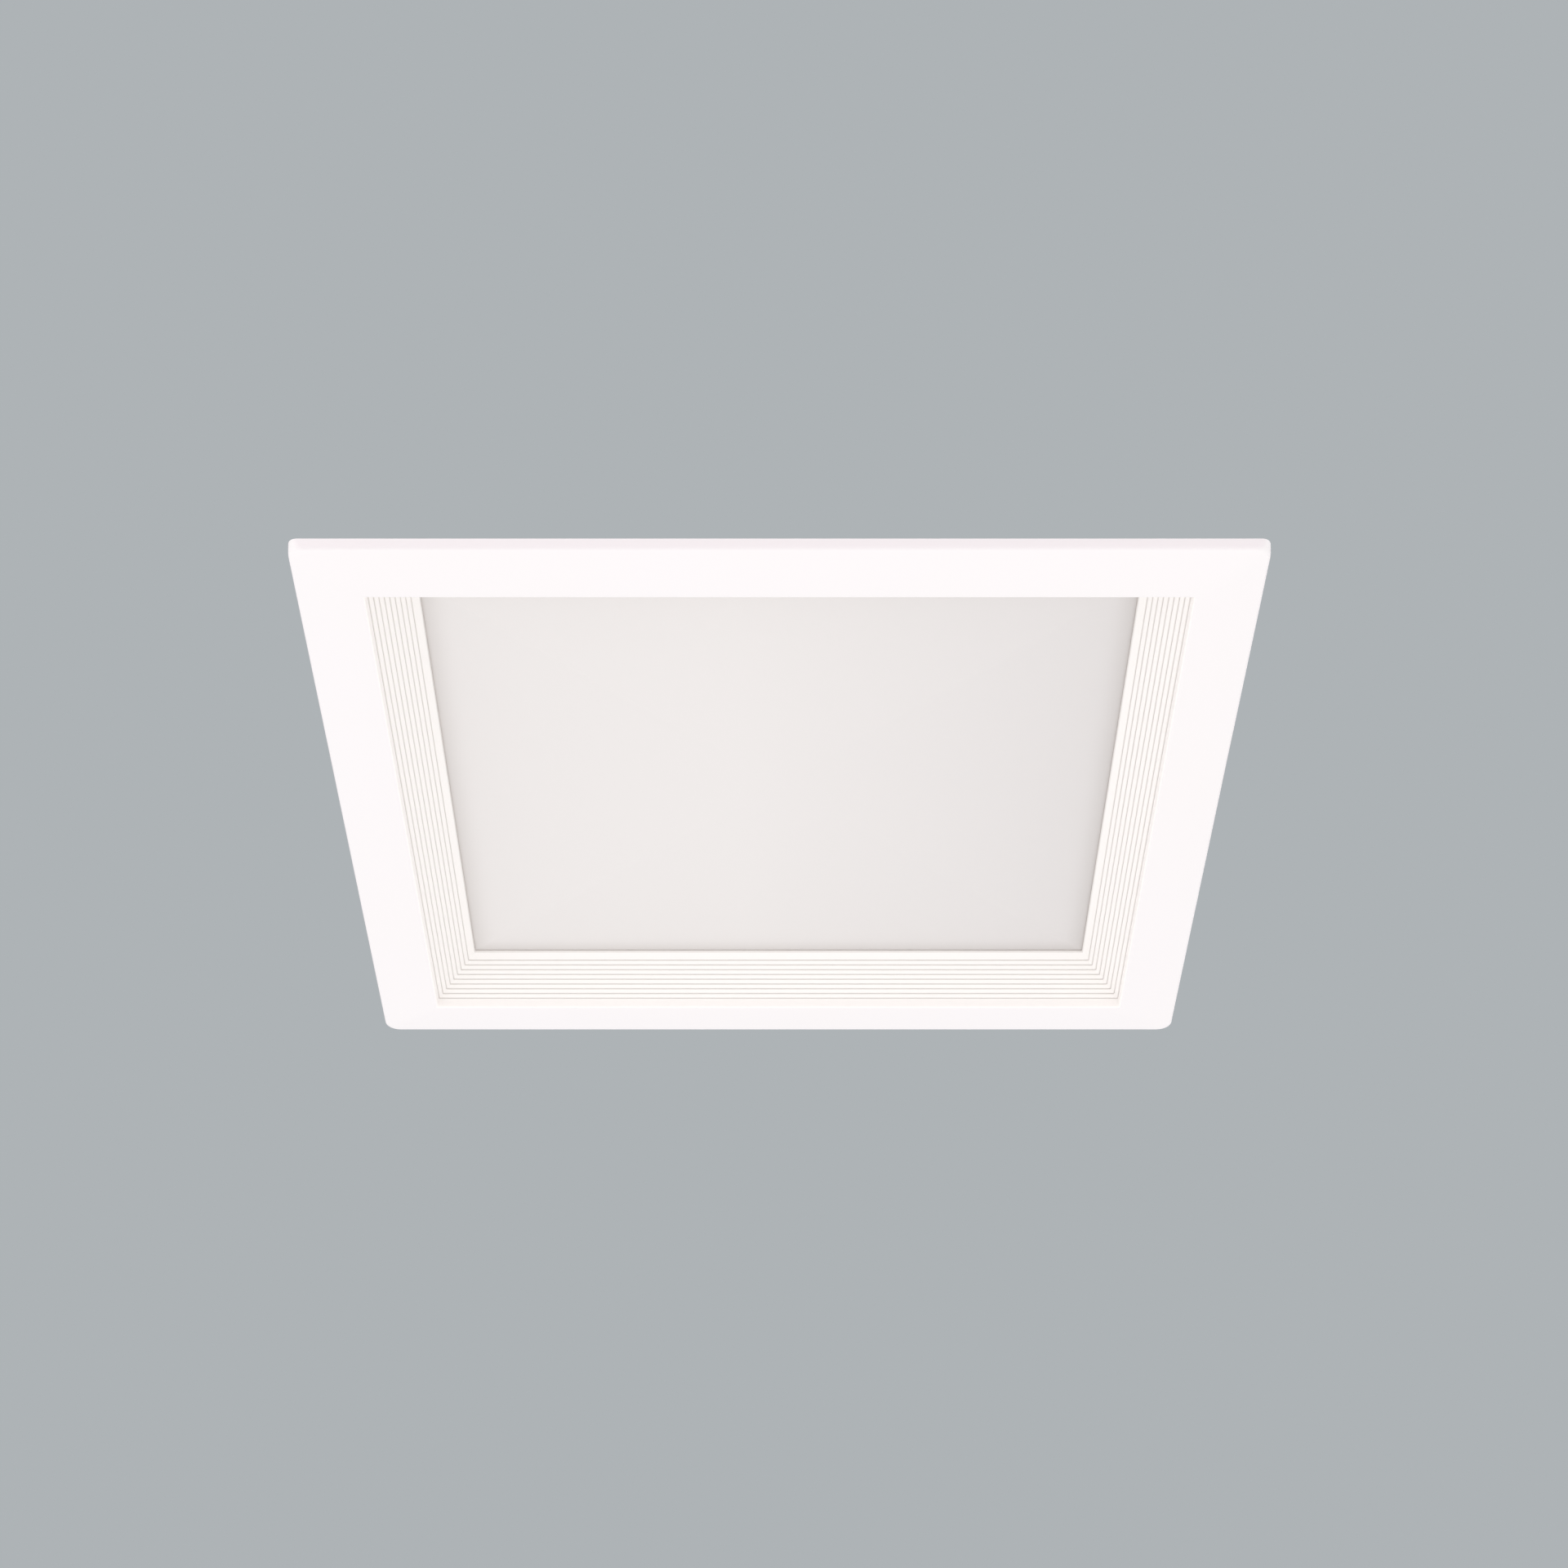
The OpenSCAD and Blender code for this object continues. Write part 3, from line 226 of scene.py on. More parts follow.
def plate_shell(rings, centre=(0, 0), arc_steps=12, loop=False):
    """A closed solid from rounded rectangles, led from pole to pole or, with loop, round a closed
    cross-section. Each is (half x, half y, z, corner radius): a quarter circle of that radius
    stands in each corner, and straight sides join the quarters."""
    half_x, half_y, z, corner = np.array(rings, float).T[:, :, None]
    turn = np.radians(np.add.outer(90 * np.arange(4), np.linspace(0, 90, arc_steps + 1)).ravel())
    sign_x, sign_y = (np.repeat(signs, arc_steps + 1) for signs in ((1, -1, -1, 1), (1, 1, -1, -1)))
    corner = np.minimum(corner, np.minimum(half_x, half_y))
    x = centre[0] + sign_x * (half_x - corner) + corner * np.cos(turn)
    y = centre[1] + sign_y * (half_y - corner) + corner * np.sin(turn)
    return gridded(stacked(x, y, z), loop)


def rounded(corners, radius, steps=3):
    """A closed outline with its corners blended. Each corner becomes a quadratic curve between the
    points one radius along its two sides, but never past the middle of a side. Columns past the
    first two ride along."""
    corners = np.asarray(corners, float)
    radius = np.broadcast_to(radius, len(corners))[:, None]
    ends = []
    for step in (1, -1):
        side = np.roll(corners, step, axis=0) - corners
        length = np.linalg.norm(side[:, :2], axis=1, keepdims=True)
        ends.append(corners + side * np.minimum(radius, 0.49 * length) / length)
    t = np.linspace(0, 1, steps + 1)[None, :, None]
    before, corner, after = ends[0][:, None], corners[:, None], ends[1][:, None]
    curve = (1 - t) ** 2 * before + 2 * t * (1 - t) * corner + t ** 2 * after
    return curve.reshape(-1, corners.shape[1])


def square_ring(corners, steps=3, arc_steps=12):
    """A closed cross-section led round a square. Each corner of the section is (half width, z,
    radius of the square's corner, radius of its own edge)."""
    corners = np.array(corners)
    section = rounded(corners[:, :3], corners[:, 3], steps)
    return plate_shell(section[:, [0, 0, 1, 2]], arc_steps=arc_steps, loop=True)


def aimed(points, at, aim):
    """Points drawn round the Z axis, turned so that Z points along aim, and moved to a place."""
    aim = np.asarray(aim, float)
    side = np.roll(np.abs(aim), 1)
    return points @ np.array([side, np.cross(aim, side), aim]) + at


def spun(profile, at=(0, 0, 0), aim=(0, 0, 1), sides=32, loop=False):
    """A profile of (radius, height) spun round the Z axis and then aimed. Loop joins its ends."""
    radius, height = np.asarray(profile, float).T[:, :, None]
    turn = full_turn(sides)
    points = stacked(radius * np.cos(turn), radius * np.sin(turn), height)
    return gridded(aimed(points, at, aim), loop)


def smoothed(mesh):
    """A mesh that shades smooth, with edges sharp past 40 degrees."""
    mesh.shade_smooth()
    mesh.set_sharp_from_angle(angle=radians(40))
    return mesh


def finished_mesh(work, name):
    """A smooth mesh from a bmesh, with its faces turned outwards."""
    bmesh.ops.recalc_face_normals(work, faces=work.faces)
    mesh = bpy.data.meshes.new(name)
    work.to_mesh(mesh)
    work.free()
    return smoothed(mesh)


def shell_mesh(name, shells):
    """A mesh from shells of (points in mm, faces). Points that coincide are merged, so that poles
    and seams close, and the faces are turned outwards."""
    points, faces, start = [], [], 0
    for shell_points, shell_faces in shells:
        points.append(shell_points.reshape(-1, 3))
        faces += (shell_faces + start).tolist()
        start += len(points[-1])
    mesh = bpy.data.meshes.new(name)
    mesh.from_pydata((join(points) * MM).tolist(), [], faces)
    work = bmesh.new()
    work.from_mesh(mesh)
    bpy.data.meshes.remove(mesh)
    bmesh.ops.remove_doubles(work, verts=work.verts, dist=1e-7)
    return finished_mesh(work, name)


def placed(name, mesh, look, body, stands_for):
    """A finished mesh as a piece of the light, with its material, its body and its CAD nodes. A look is
    a material slot, which is not used, and a material."""
    mesh.materials.append(look[1])
    made = new_object(name, mesh)
    if body:
        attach(made, body)
    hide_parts(*stands_for)
    return made


def piece(name, look, shells, *stands_for, body="root"):
    """One piece of the light from its shells."""
    return placed(name, shell_mesh(name, shells), look, body, stands_for)


def finish(name, colour, roughness, metallic=0.0, **sockets):
    """A new Principled material. What is the same all over is set on the shader's own sockets."""
    material = bpy.data.materials.new(name)
    tree = empty_tree(material)
    shader = add_node(tree, "BsdfPrincipled", {
        "Base Color": (*colour, 1), "Roughness": roughness, "Metallic": metallic,
        **{key.replace("_", " "): value for key, value in sockets.items()}})
    add_node(tree, "OutputMaterial", {0: shader})
    return material, tree


def noise(tree, scale, detail=2.0, stretch=(1, 1, 1)):
    """Noise on Object coordinates: scale is in cycles per metre, and stretch squeezes each axis."""
    place = object_place(tree)
    if stretch != (1, 1, 1):
        place = add_node(tree, "Mapping", {0: place, "Scale": stretch})
    made = add_node(tree, "TexNoise", {"Vector": place, "Scale": scale, "Detail": detail})
    return made.outputs["Fac"]


def ranged(tree, value, low, high, start=0.3, stop=0.7):
    """A pattern's values from start to stop, stretched to low to high."""
    return add_node(tree, "MapRange", {0: value, 1: start, 2: stop, 3: low, 4: high}).outputs[0]


def blended(tree, share, first, second):
    """A colour between two others, by a share from 0 to 1."""
    first, second = (c if isinstance(c, bpy.types.NodeSocket) else (*c, 1) for c in (first, second))
    return add_node(tree, "Mix", {0: share, 6: first, 7: second}, data_type="RGBA").outputs[2]


def dressed(material, colour, gloss, relief, depth):
    """Gives a finish its colour, its roughness and its relief, whose depth is in millimetres."""
    tree = material.node_tree
    bump = add_node(tree, "Bump", {"Height": relief, "Distance": depth * MM, "Strength": 1.0})
    feed(tree, tree.nodes["Principled BSDF"], {"Base Color": colour, "Roughness": gloss, "Normal": bump})
    return material


def varied(name, colour, roughness, spread, grain, depth, metallic=0.0, patch=60,
           stretch=(1, 1, 1), **sockets):
    """A finish whose colour drifts in broad patches, whose gloss drifts in small ones, and whose
    fine grain stands in relief."""
    material, tree = finish(name, colour, roughness, metallic, **sockets)
    dark, bright = [c * (1 - spread) for c in colour], [min(1, c * (1 + spread)) for c in colour]
    tone = blended(tree, ranged(tree, noise(tree, patch), 0, 1), dark, bright)
    gloss = ranged(tree, noise(tree, 6 * patch, 3, stretch), 0.85 * roughness, 1.15 * roughness)
    return dressed(material, tone, gloss, noise(tree, grain, 3, stretch), depth)


def own_axis(tree, axis):
    """A point's X, Y or Z on its own object, in metres."""
    return add_node(tree, "SeparateXYZ", {0: object_place(tree)}).outputs[axis]


def out_from_middle(tree):
    """How far a point is from the light's axis, measured square: the larger of |x| and |y|."""
    sides = (calc(tree, "ABSOLUTE", own_axis(tree, axis)) for axis in "XY")
    return calc(tree, "MAXIMUM", *sides)


def powder_coat():
    """Satin white powder coat with a fine orange peel. Painted light makes the white a little warmer
    and brighter in the recess, most of all on its upright wall, and painted shade makes it a little
    duller on the rim's side. Painted shade greys it in the grooves and along the lip's edge, where
    the mesh's stored shade attribute is high."""
    # Painted light and shade: the recess and its upright wall are drawn warmer and brighter, the rim's
    # side duller.
    wall_painted_light, slope_painted_light, rim_painted_shade = (0.995, 0.964, 0.945), (0.966, 0.936, 0.914), (0.897, 0.84, 0.862)
    face_tones, crease_shade_tone = ((0.922, 0.892, 0.902), (0.922, 0.892, 0.893)), (0.73, 0.705, 0.68)
    rim_blend, wall_blend = 0.5 * MM, 0.2 * wall_h * MM
    material, tree = finish("powder_coat", (0.93, 0.9, 0.905), 0.42)
    out, rim, wall_top = out_from_middle(tree), flange_half * MM, wall_h * MM
    height = ranged(tree, own_axis(tree, "Z"), 0, 1, wall_top, wall_top + wall_blend)
    recess_painted_light = blended(tree, height, wall_painted_light, slope_painted_light)
    face = blended(tree, ranged(tree, noise(tree, 14), 0, 1), *face_tones)
    outer = blended(tree, ranged(tree, out, 0, 1, rim - rim_blend, rim), face, rim_painted_shade)
    white = blended(tree, calc(tree, "GREATER_THAN", out, crest_in * MM), recess_painted_light, outer)
    # Painted shade in the grooves and along the lip's edge comes from the mesh's stored attribute.
    crease_shade = add_node(tree, "Attribute", attribute_name="crease_shade").outputs["Fac"]
    return dressed(material, blended(tree, crease_shade, white, crease_shade_tone),
                   ranged(tree, noise(tree, 500), 0.38, 0.48), noise(tree, 900, 3), 0.008)


def box_mm(node):
    """A CAD node's lowest and highest corners in millimetres."""
    return [np.array(corner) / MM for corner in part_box(node)]


def node_mid(node):
    """The middle of a CAD node's box in millimetres."""
    return sum(box_mm(node)) / 2


trim_high = box_mm("trim_frame")[1]
flange_half, neck_top_z = trim_high[0], trim_high[2]
panel_low, panel_high = box_mm("opal_panel")
neck_half = box_mm("housing")[1][0]
rim_t, face_drop = 3.2, 1.7
flange_corner, back_corner, mitre = 4.0, 2.0, 0.35
crest_in, crest_out, recess_half, crest_edge = 96.5, 97.0, 96.2, 0.3
wall_h, slope, groove_n = 2.46, radians(41), 9
groove_start, groove_pitch, groove_w, groove_depth, band_w = 0.4, 1.42, 0.42, 0.4, 2.4
slope_length = groove_start + (groove_n - 1) * groove_pitch + band_w
slope_wall, pocket_half, pocket_wall, neck_wall = 1.8, 91.01, 2.5, 2.0
rim_back_z = face_drop + rim_t
channel_in, channel_out = pocket_half + pocket_wall, neck_half - neck_wall
channel_z = wall_h + slope_wall / cos(slope)
foot_screw_at = ((channel_in + channel_out) / 2, 55.0)
foot_screws = [(s * a, t * b) for a, b in (foot_screw_at, foot_screw_at[::-1])
               for s in (1, -1) for t in (1, -1)]


def on_slope(along, into):
    """The point at a distance up the recess's slope and a depth into the casting."""
    return (recess_half - along * cos(slope) + into * sin(slope),
            wall_h + along * sin(slope) + into * cos(slope))


lip_half, lip_z = on_slope(slope_length, 0)


def trim_outline():
    """The corners of the casting's cross-section. The flange's face rises from crest to rim as the
    1.5th power of the distance from the crest. Seen from the front, the rim's four corners are
    rounder at the face than at the ceiling."""
    share = np.linspace(1, 0, 12)[1:-1]
    corners = [(flange_half, rim_back_z, back_corner, 0.3), (flange_half, face_drop, flange_corner, 1.1)]
    corners += [(crest_out + t * (flange_half - crest_out), face_drop * t ** 1.5,
                 mitre + t * (flange_corner - mitre), 0.4) for t in share]
    corners += [(crest_out, 0, mitre, 0.15), (crest_in, 0, mitre, 0.15),
                (recess_half, crest_edge, mitre, 0.15), (recess_half, wall_h, mitre, 0.2)]
    for k in range(groove_n):
        middle = groove_start + k * groove_pitch
        corners += [(*on_slope(middle - groove_w / 2, 0), mitre, 0.08),
                    (*on_slope(middle, groove_depth), mitre, 0.1),
                    (*on_slope(middle + groove_w / 2, 0), mitre, 0.08)]
    back_z = wall_h + (recess_half - channel_in) * tan(slope) + slope_wall / cos(slope)
    corners += [
        (*on_slope(slope_length - 0.4, 0), mitre, 0.05), (lip_half, lip_z, mitre, 0.1),
        (lip_half, lip_z + 0.25, mitre, 0.05), (lip_half, panel_low[2], mitre, 0.2),
        (pocket_half, panel_low[2], 0.5, 0.2), (pocket_half, neck_top_z, 0.5, 0.3),
        (channel_in, neck_top_z, 2, 0.4), (channel_in, back_z, 2, 0.3),
        (recess_half, channel_z, 2.2, 0.5), (channel_out, channel_z, 2.4, 0.4),
        (channel_out, neck_top_z, 2.4, 0.3), (neck_half, neck_top_z, 4, 0.4),
        (neck_half, rim_back_z, 4, 0.3)]
    return corners


def store_crease_shade(mesh):
    """Stores painted shade at each point: in a groove the point's share of the groove's depth, and
    along the lip's edge 0.8 on the right and left and 0.3 on the other sides. A point's place from
    the wall's foot, turned by the slope's angle, gives how far along and how deep it is."""
    at = np.empty(3 * len(mesh.vertices), np.float32)
    mesh.vertices.foreach_get("co", at)
    at = at.reshape(-1, 3) / MM
    inward, up = recess_half - np.abs(at[:, :2]).max(axis=1), at[:, 2] - wall_h
    along = inward * cos(slope) + up * sin(slope)
    below = up * cos(slope) - inward * sin(slope)
    grooved = (along > 0.1) & (along < slope_length - 1) & (below < 1.2 * groove_depth)
    # Painted shade: each groove greys with its depth.
    crease_shade = np.where(grooved, np.clip(below / groove_depth, 0, 1), 0)
    # Painted shade along the lip's edge, darker on the right and left sides than on the others.
    edge = np.where(np.abs(at[:, 0]) > np.abs(at[:, 1]), 0.8, 0.3)
    crease_shade = np.where((np.abs(along - slope_length) < 0.17) & (np.abs(below) < 0.12), edge, crease_shade)
    mesh.attributes.new("crease_shade", "FLOAT", "POINT").data.foreach_set("value", crease_shade.astype(np.float32))


boss_profile = [(0, channel_z - 0.3), (1.6, channel_z - 0.3), (3, channel_z + 1.75),
                (3, neck_top_z - 0.3), (2.7, neck_top_z), (0, neck_top_z)]
trim_shells = [square_ring(trim_outline())]
trim_shells += [spun(boss_profile, (*at, 0)) for at in foot_screws]
store_crease_shade(piece("trim_casting", ("trim_white", powder_coat()), trim_shells, "trim_frame").data)


# Opal panel
# A flat sheet of opal acrylic with a fine matt face. It lies loose on the lip inside the casting.
def opal_acrylic():
    """Milky acrylic with a fine matt grain. Painted shade darkens its tone towards the lip, for the
    recess's shade and for light that leaks out sideways. With d the distance from the lip it loses
    0.13 times e to the minus (d / 3.7 mm) squared, and a painted shadow in the gap at the lip takes
    0.15 times e to the minus d / 0.4 mm more. To the right of the middle painted shade makes it a
    little darker."""
    edge_shade_share, edge_shade_reach, lip_gap_shadow_share, lip_gap_shadow_reach = 0.13, 3.7 * MM, 0.15, 0.4 * MM
    material, tree = finish("opal_acrylic", (0.81, 0.78, 0.77), 0.5)
    # Painted shade towards the lip, and a painted shadow in the gap at the lip.
    inside = calc(tree, "SUBTRACT", lip_half * MM, out_from_middle(tree))
    near = calc(tree, "DIVIDE", inside, edge_shade_reach)
    near = calc(tree, "MULTIPLY", near, calc(tree, "MULTIPLY", near, -1.0))
    soft = calc(tree, "MULTIPLY", calc(tree, "EXPONENT", near), edge_shade_share)
    lip_gap_shadow = calc(tree, "EXPONENT", calc(tree, "DIVIDE", inside, -lip_gap_shadow_reach))
    painted_edge_shade = calc(tree, "ADD", soft, calc(tree, "MULTIPLY", lip_gap_shadow, lip_gap_shadow_share))
    # Painted shade: the sheet gets darker towards its right side.
    painted_right_shade = ranged(tree, own_axis(tree, "X"), 0.0, 1.0, -10 * MM, lip_half * MM)
    tone = blended(tree, painted_right_shade, (0.812, 0.784, 0.772), (0.742, 0.716, 0.71))
    return dressed(material, blended(tree, painted_edge_shade, tone, (0.1, 0.05, 0)),
                   ranged(tree, noise(tree, 700), 0.46, 0.54), noise(tree, 2500, 2), 0.003)


def soft_rings(half_x, half_y, z_low, z_high, corner, edge):
    """Rings of a solid slab, from the middle of its lower face round its rounded edges to the
    middle of its upper face. An edge is a quarter circle in three steps."""
    turn = np.radians([0, 30, 60, 90])
    inset, lift = edge * (1 - np.sin(turn)), edge * (1 - np.cos(turn))
    low, high = ([(half_x - i, half_y - i, z, max(corner - i, 0)) for i, z in zip(inset, heights)]
                 for heights in (z_low + lift, z_high - lift))
    return [(0, 0, z_low, 0)] + low + high[::-1] + [(0, 0, z_high, 0)]


panel_rings = soft_rings(*panel_high[:2], panel_low[2], panel_high[2], 1, 0.15)
piece("opal_sheet", ("opal_plastic", opal_acrylic()), [plate_shell(panel_rings)], "opal_panel")


# Gasket
# A thin ring of grey silicone between the panel and the reflector's flange.
gasket_low, gasket_high = box_mm("panel_gasket")
gasket_ring = 4.0
silicone = "gasket_foam", varied("grey_silicone", (0.3, 0.3, 0.3), 0.6, 0.08, 900, 0.01)
gasket_in = gasket_high[0] - gasket_ring
gasket_section = [(gasket_high[0], gasket_low[2], 1, 0.15), (gasket_high[0], gasket_high[2], 1, 0.15),
                  (gasket_in, gasket_high[2], 0.3, 0.15), (gasket_in, gasket_low[2], 0.3, 0.15)]
piece("gasket_ring", silicone, [square_ring(gasket_section, arc_steps=4)], "panel_gasket")


# Reflector
# A vacuum-formed white tray with sloping walls and a hole for each LED. Its flange is clamped
# between the panel's gasket and the housing's foot.
def softened(name, node, look, edge, segments=2, body="root"):
    """A copy of a CAD node with its loose triangles merged, its flats dissolved into whole faces,
    and its sharp edges rounded by a bevel of the given width in mm."""
    work = bmesh.new()
    work.from_mesh(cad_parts[node].data)
    bmesh.ops.remove_doubles(work, verts=work.verts, dist=2e-6)
    bmesh.ops.dissolve_limit(work, angle_limit=radians(1), verts=work.verts, edges=work.edges)
    made = placed(name, finished_mesh(work, name), look, body, [node])
    bevel = made.modifiers.new("soft_edges", "BEVEL")
    bevel.width, bevel.segments = edge * MM, segments
    bevel.limit_method, bevel.angle_limit = "ANGLE", radians(35)
    bevel.harden_normals = True


tray_white = "reflector_white", varied("reflector_white", (0.87, 0.87, 0.86), 0.55, 0.01, 1500, 0.006)
softened("reflector_tray", "reflector", tray_white, 0.25)


# LED board
# A white-coated aluminium plate with 36 LEDs, a two-way connector, five screws and a thermal pad.
# Each LED is a white package with a dome of yellow phosphor.
def coated_board(name, colour, lines, scale, roughness, **sockets):
    """A circuit board's coat. Narrow lines of two crossed brick patterns show where the copper
    runs under it, and they stand a little proud."""
    material, tree = finish(name, colour, roughness, **sockets)
    place = object_place(tree)
    across = add_node(tree, "Mapping", {0: place, "Rotation": (0, 0, pi / 2)})
    runs = [add_node(tree, "TexBrick", {
        "Vector": way, "Scale": scale, "Mortar Size": 0.045, "Mortar Smooth": 0.4, "Row Height": 0.6,
        "Brick Width": 1.7}).outputs["Fac"] for way in (place, across)]
    share = calc(tree, "MAXIMUM", *runs)
    return dressed(material, blended(tree, share, colour, lines),
                   ranged(tree, noise(tree, 400), 0.9 * roughness, 1.1 * roughness), share, 0.03)


screw_r, head_r, head_h, thread_pitch, tip_h = 1.5, 2.7, 1.9, 1.0, 0.3
recess_half_w, recess_reach = 0.42, 1.6


def pan_screw(at, aim, length):
    """A thread-forming screw with a pan head and a cross recess. The thread's radius rises and
    falls once per pitch, and its crest moves round as it climbs. The recess's outline is the
    farther of two crossed bars, seen from the middle."""
    side = degrees(atan2(recess_half_w, recess_reach))
    quarter = [0, side, (side + 45) / 2, 45, (135 - side) / 2, 90 - side]
    turn = np.radians(np.add.outer(90 * np.arange(4), quarter).ravel())
    z = np.arange(-length, -0.2, thread_pitch / 5)[:, None]
    ridge = 1 - np.abs(2 * np.mod(z / thread_pitch - turn / (2 * np.pi), 1) - 1)
    core, taper = 0.76 * screw_r, np.minimum(1, 0.5 + (z + length) / 2)
    radius = (core + (screw_r - core) * np.clip(1.7 * ridge - 0.4, 0, 1)) * taper
    head = np.array([(core, 0), (head_r - 0.15, 0), (head_r, 0.12), (head_r, 0.5), (0.975 * head_r, 0.9),
                     (0.9 * head_r, 1.3), (0.78 * head_r, 1.64), (0.68 * head_r, 1.82)])
    cosine, sine = (np.maximum(np.abs(share), 1e-9) for share in (np.cos(turn), np.sin(turn)))
    cross = np.maximum(np.minimum(recess_reach / cosine, recess_half_w / sine),
                       np.minimum(recess_reach / sine, recess_half_w / cosine))[None]
    pole = 0 * cross
    radii = join([pole, radius, head[:, :1] + pole, cross, 0.8 * cross, pole])
    heights = join([[-length - tip_h], z[:, 0], head[:, 1], [head_h, head_h - 1, head_h - 1.25]])
    points = stacked(radii * np.cos(turn), radii * np.sin(turn), heights[:, None])
    return gridded(aimed(points, at, aim))


board_z, led_pitch, led_half, led_h = box_mm("led_board")[0][2], 24.0, 1.75, 0.7
led_row = (np.arange(6) - 2.5) * led_pitch
led_places = [(x, y) for x in led_row for y in led_row]
white_mask = coated_board("white_mask", (0.88, 0.88, 0.86), (0.84, 0.845, 0.82), 45.0, 0.45)
softened("led_plate", "led_board", ("led_board_white", white_mask), 0.15)
led_face_z = board_z - led_h
led_rings = [(0, 0, board_z, 0), (led_half, led_half, board_z, 0.25),
             (led_half, led_half, led_face_z + 0.06, 0.25),
             (led_half - 0.07, led_half - 0.07, led_face_z, 0.2), (1.4, 1.4, led_face_z, 1.4),
             (1.3, 1.3, led_face_z + 0.12, 1.3), (0, 0, led_face_z + 0.12, 0)]
dome_z = led_face_z + 0.1
dome = [(0, dome_z), (1.29, dome_z), (1.2, dome_z - 0.04), (0.8, dome_z - 0.08), (0, dome_z - 0.1)]
package_white = "reflector_white", varied("package_white", (0.9, 0.9, 0.88), 0.4, 0.01, 3000, 0.004)
phosphor = "led_yellow", varied("phosphor", (0.9, 0.72, 0.16), 0.45, 0.05, 2600, 0.01, patch=500)
piece("led_bodies", package_white, [plate_shell(led_rings, at, 3) for at in led_places], "led_packages")
piece("led_phosphor", phosphor, [spun(dome, (*at, 0), sides=16) for at in led_places], "led_packages")
ivory_nylon = "connector_ivory", varied("ivory_nylon", (0.87, 0.85, 0.77), 0.45, 0.02, 1500, 0.006)
lead_x, socket_x = 0.9, 1.2
plug_y, plug_mid_z = box_mm("led_connector")[0][1], node_mid("led_connector")[2]


def plug(name, node, edge, z):
    """A lead connector, with the round mouths of its two sockets in its face at this height."""
    softened(name, node, ivory_nylon, edge)
    collar = [(0.8, -0.2), (1.15, -0.2), (1.15, 0.45), (1.05, 0.55), (0.8, 0.55)]
    mouths = [spun(collar, (s * socket_x, box_mm(node)[0][1], z), (0, -1, 0), 20, True) for s in (1, -1)]
    piece(name + "_details", ivory_nylon, mouths, node)


plug("led_plug", "led_connector", 0.25, plug_mid_z)
zinc = "zinc_steel", varied("bright_zinc", (0.72, 0.72, 0.73), 0.3, 0.05, 2500, 0.004, 1.0, patch=300)


def screws(name, node, places, up=1):
    """A set of equal upright screws, with their heads up or down. The CAD node's box says how high
    they sit and how long they are."""
    tip, top = sorted((corner[2] for corner in box_mm(node)), key=lambda end: end * up)
    seat_z = top - up * head_h
    length = round(abs(seat_z - tip) - tip_h, 6)
    shells = [pan_screw((*place, seat_z), (0, 0, up), length) for place in places]
    piece(name, zinc, shells, node)


screws("board_screw_set", "board_screws", [(0, 0), (48, 48), (48, -48), (-48, 48), (-48, -48)], -1)
pad_grey = "pad_grey", varied("filled_silicone", (0.55, 0.57, 0.6), 0.7, 0.04, 700, 0.02)
softened("gap_pad", "thermal_pad", pad_grey, 0.12)


# Housing
# A die-cast aluminium wall on a foot flange. The foot clamps the reflector on the trim's neck, and
# eight screws pass through it. The board screws draw the heat sink down on its upper edge.
def cast_aluminium():
    """Blasted die casting: a matt metal with a fine pitted grain over a softer swell, and slightly
    darker and brighter patches where the metal flowed."""
    material, tree = finish("cast_aluminium", (0.66, 0.67, 0.68), 0.5, 1.0)
    flow = noise(tree, 22, 3, (1, 2.4, 1))
    swell = calc(tree, "MULTIPLY", noise(tree, 160), 1.5)
    grain = calc(tree, "ADD", noise(tree, 1400, 4), swell)
    tone = blended(tree, ranged(tree, flow, 0, 1), (0.6, 0.61, 0.62), (0.71, 0.72, 0.73))
    return dressed(material, tone, ranged(tree, noise(tree, 120, 3), 0.42, 0.6), grain, 0.035)


housing_low, housing_high = box_mm("housing")
wall_out, wall_t, wall_corner, foot_t = 90.01, 2.5, 8.0, 2.5
foot_z, foot_top_z, wall_top_z = housing_low[2], housing_low[2] + foot_t, housing_high[2]
wall_in = wall_out - wall_t
casting = "cast_aluminium", cast_aluminium()
housing_section = [
    (neck_half, foot_z, 4, 0.4), (neck_half, foot_top_z, 4, 0.8),
    (wall_out, foot_top_z, wall_corner, 1.4), (wall_out, wall_top_z, wall_corner, 0.5),
    (wall_in, wall_top_z, wall_corner - wall_t, 0.3), (wall_in, foot_z, wall_corner - wall_t, 0.3)]
piece("housing_wall", casting, [square_ring(housing_section, 4)], "housing")
screws("housing_screw_set", "housing_screws", foot_screws)


# Heat sink
# A die-cast roof with upright fins, four posts that carry the driver box, and an eye for a safety
# cord. The lead to the LED board passes through a hole near one edge.
def drilled(target, shells):
    """Cuts the shells' space out of a piece and keeps the result as its mesh."""
    cutter = new_object("cutter", shell_mesh("cutter", shells))
    cut = target.modifiers.new("cut", "BOOLEAN")
    cut.object, cut.operation, cut.solver = cutter, "DIFFERENCE", "EXACT"
    bpy.context.view_layer.update()
    result = target.evaluated_get(bpy.context.evaluated_depsgraph_get())
    mesh = bpy.data.meshes.new_from_object(result)
    target.modifiers.clear()
    target.data = smoothed(mesh)
    bpy.data.objects.remove(cutter)


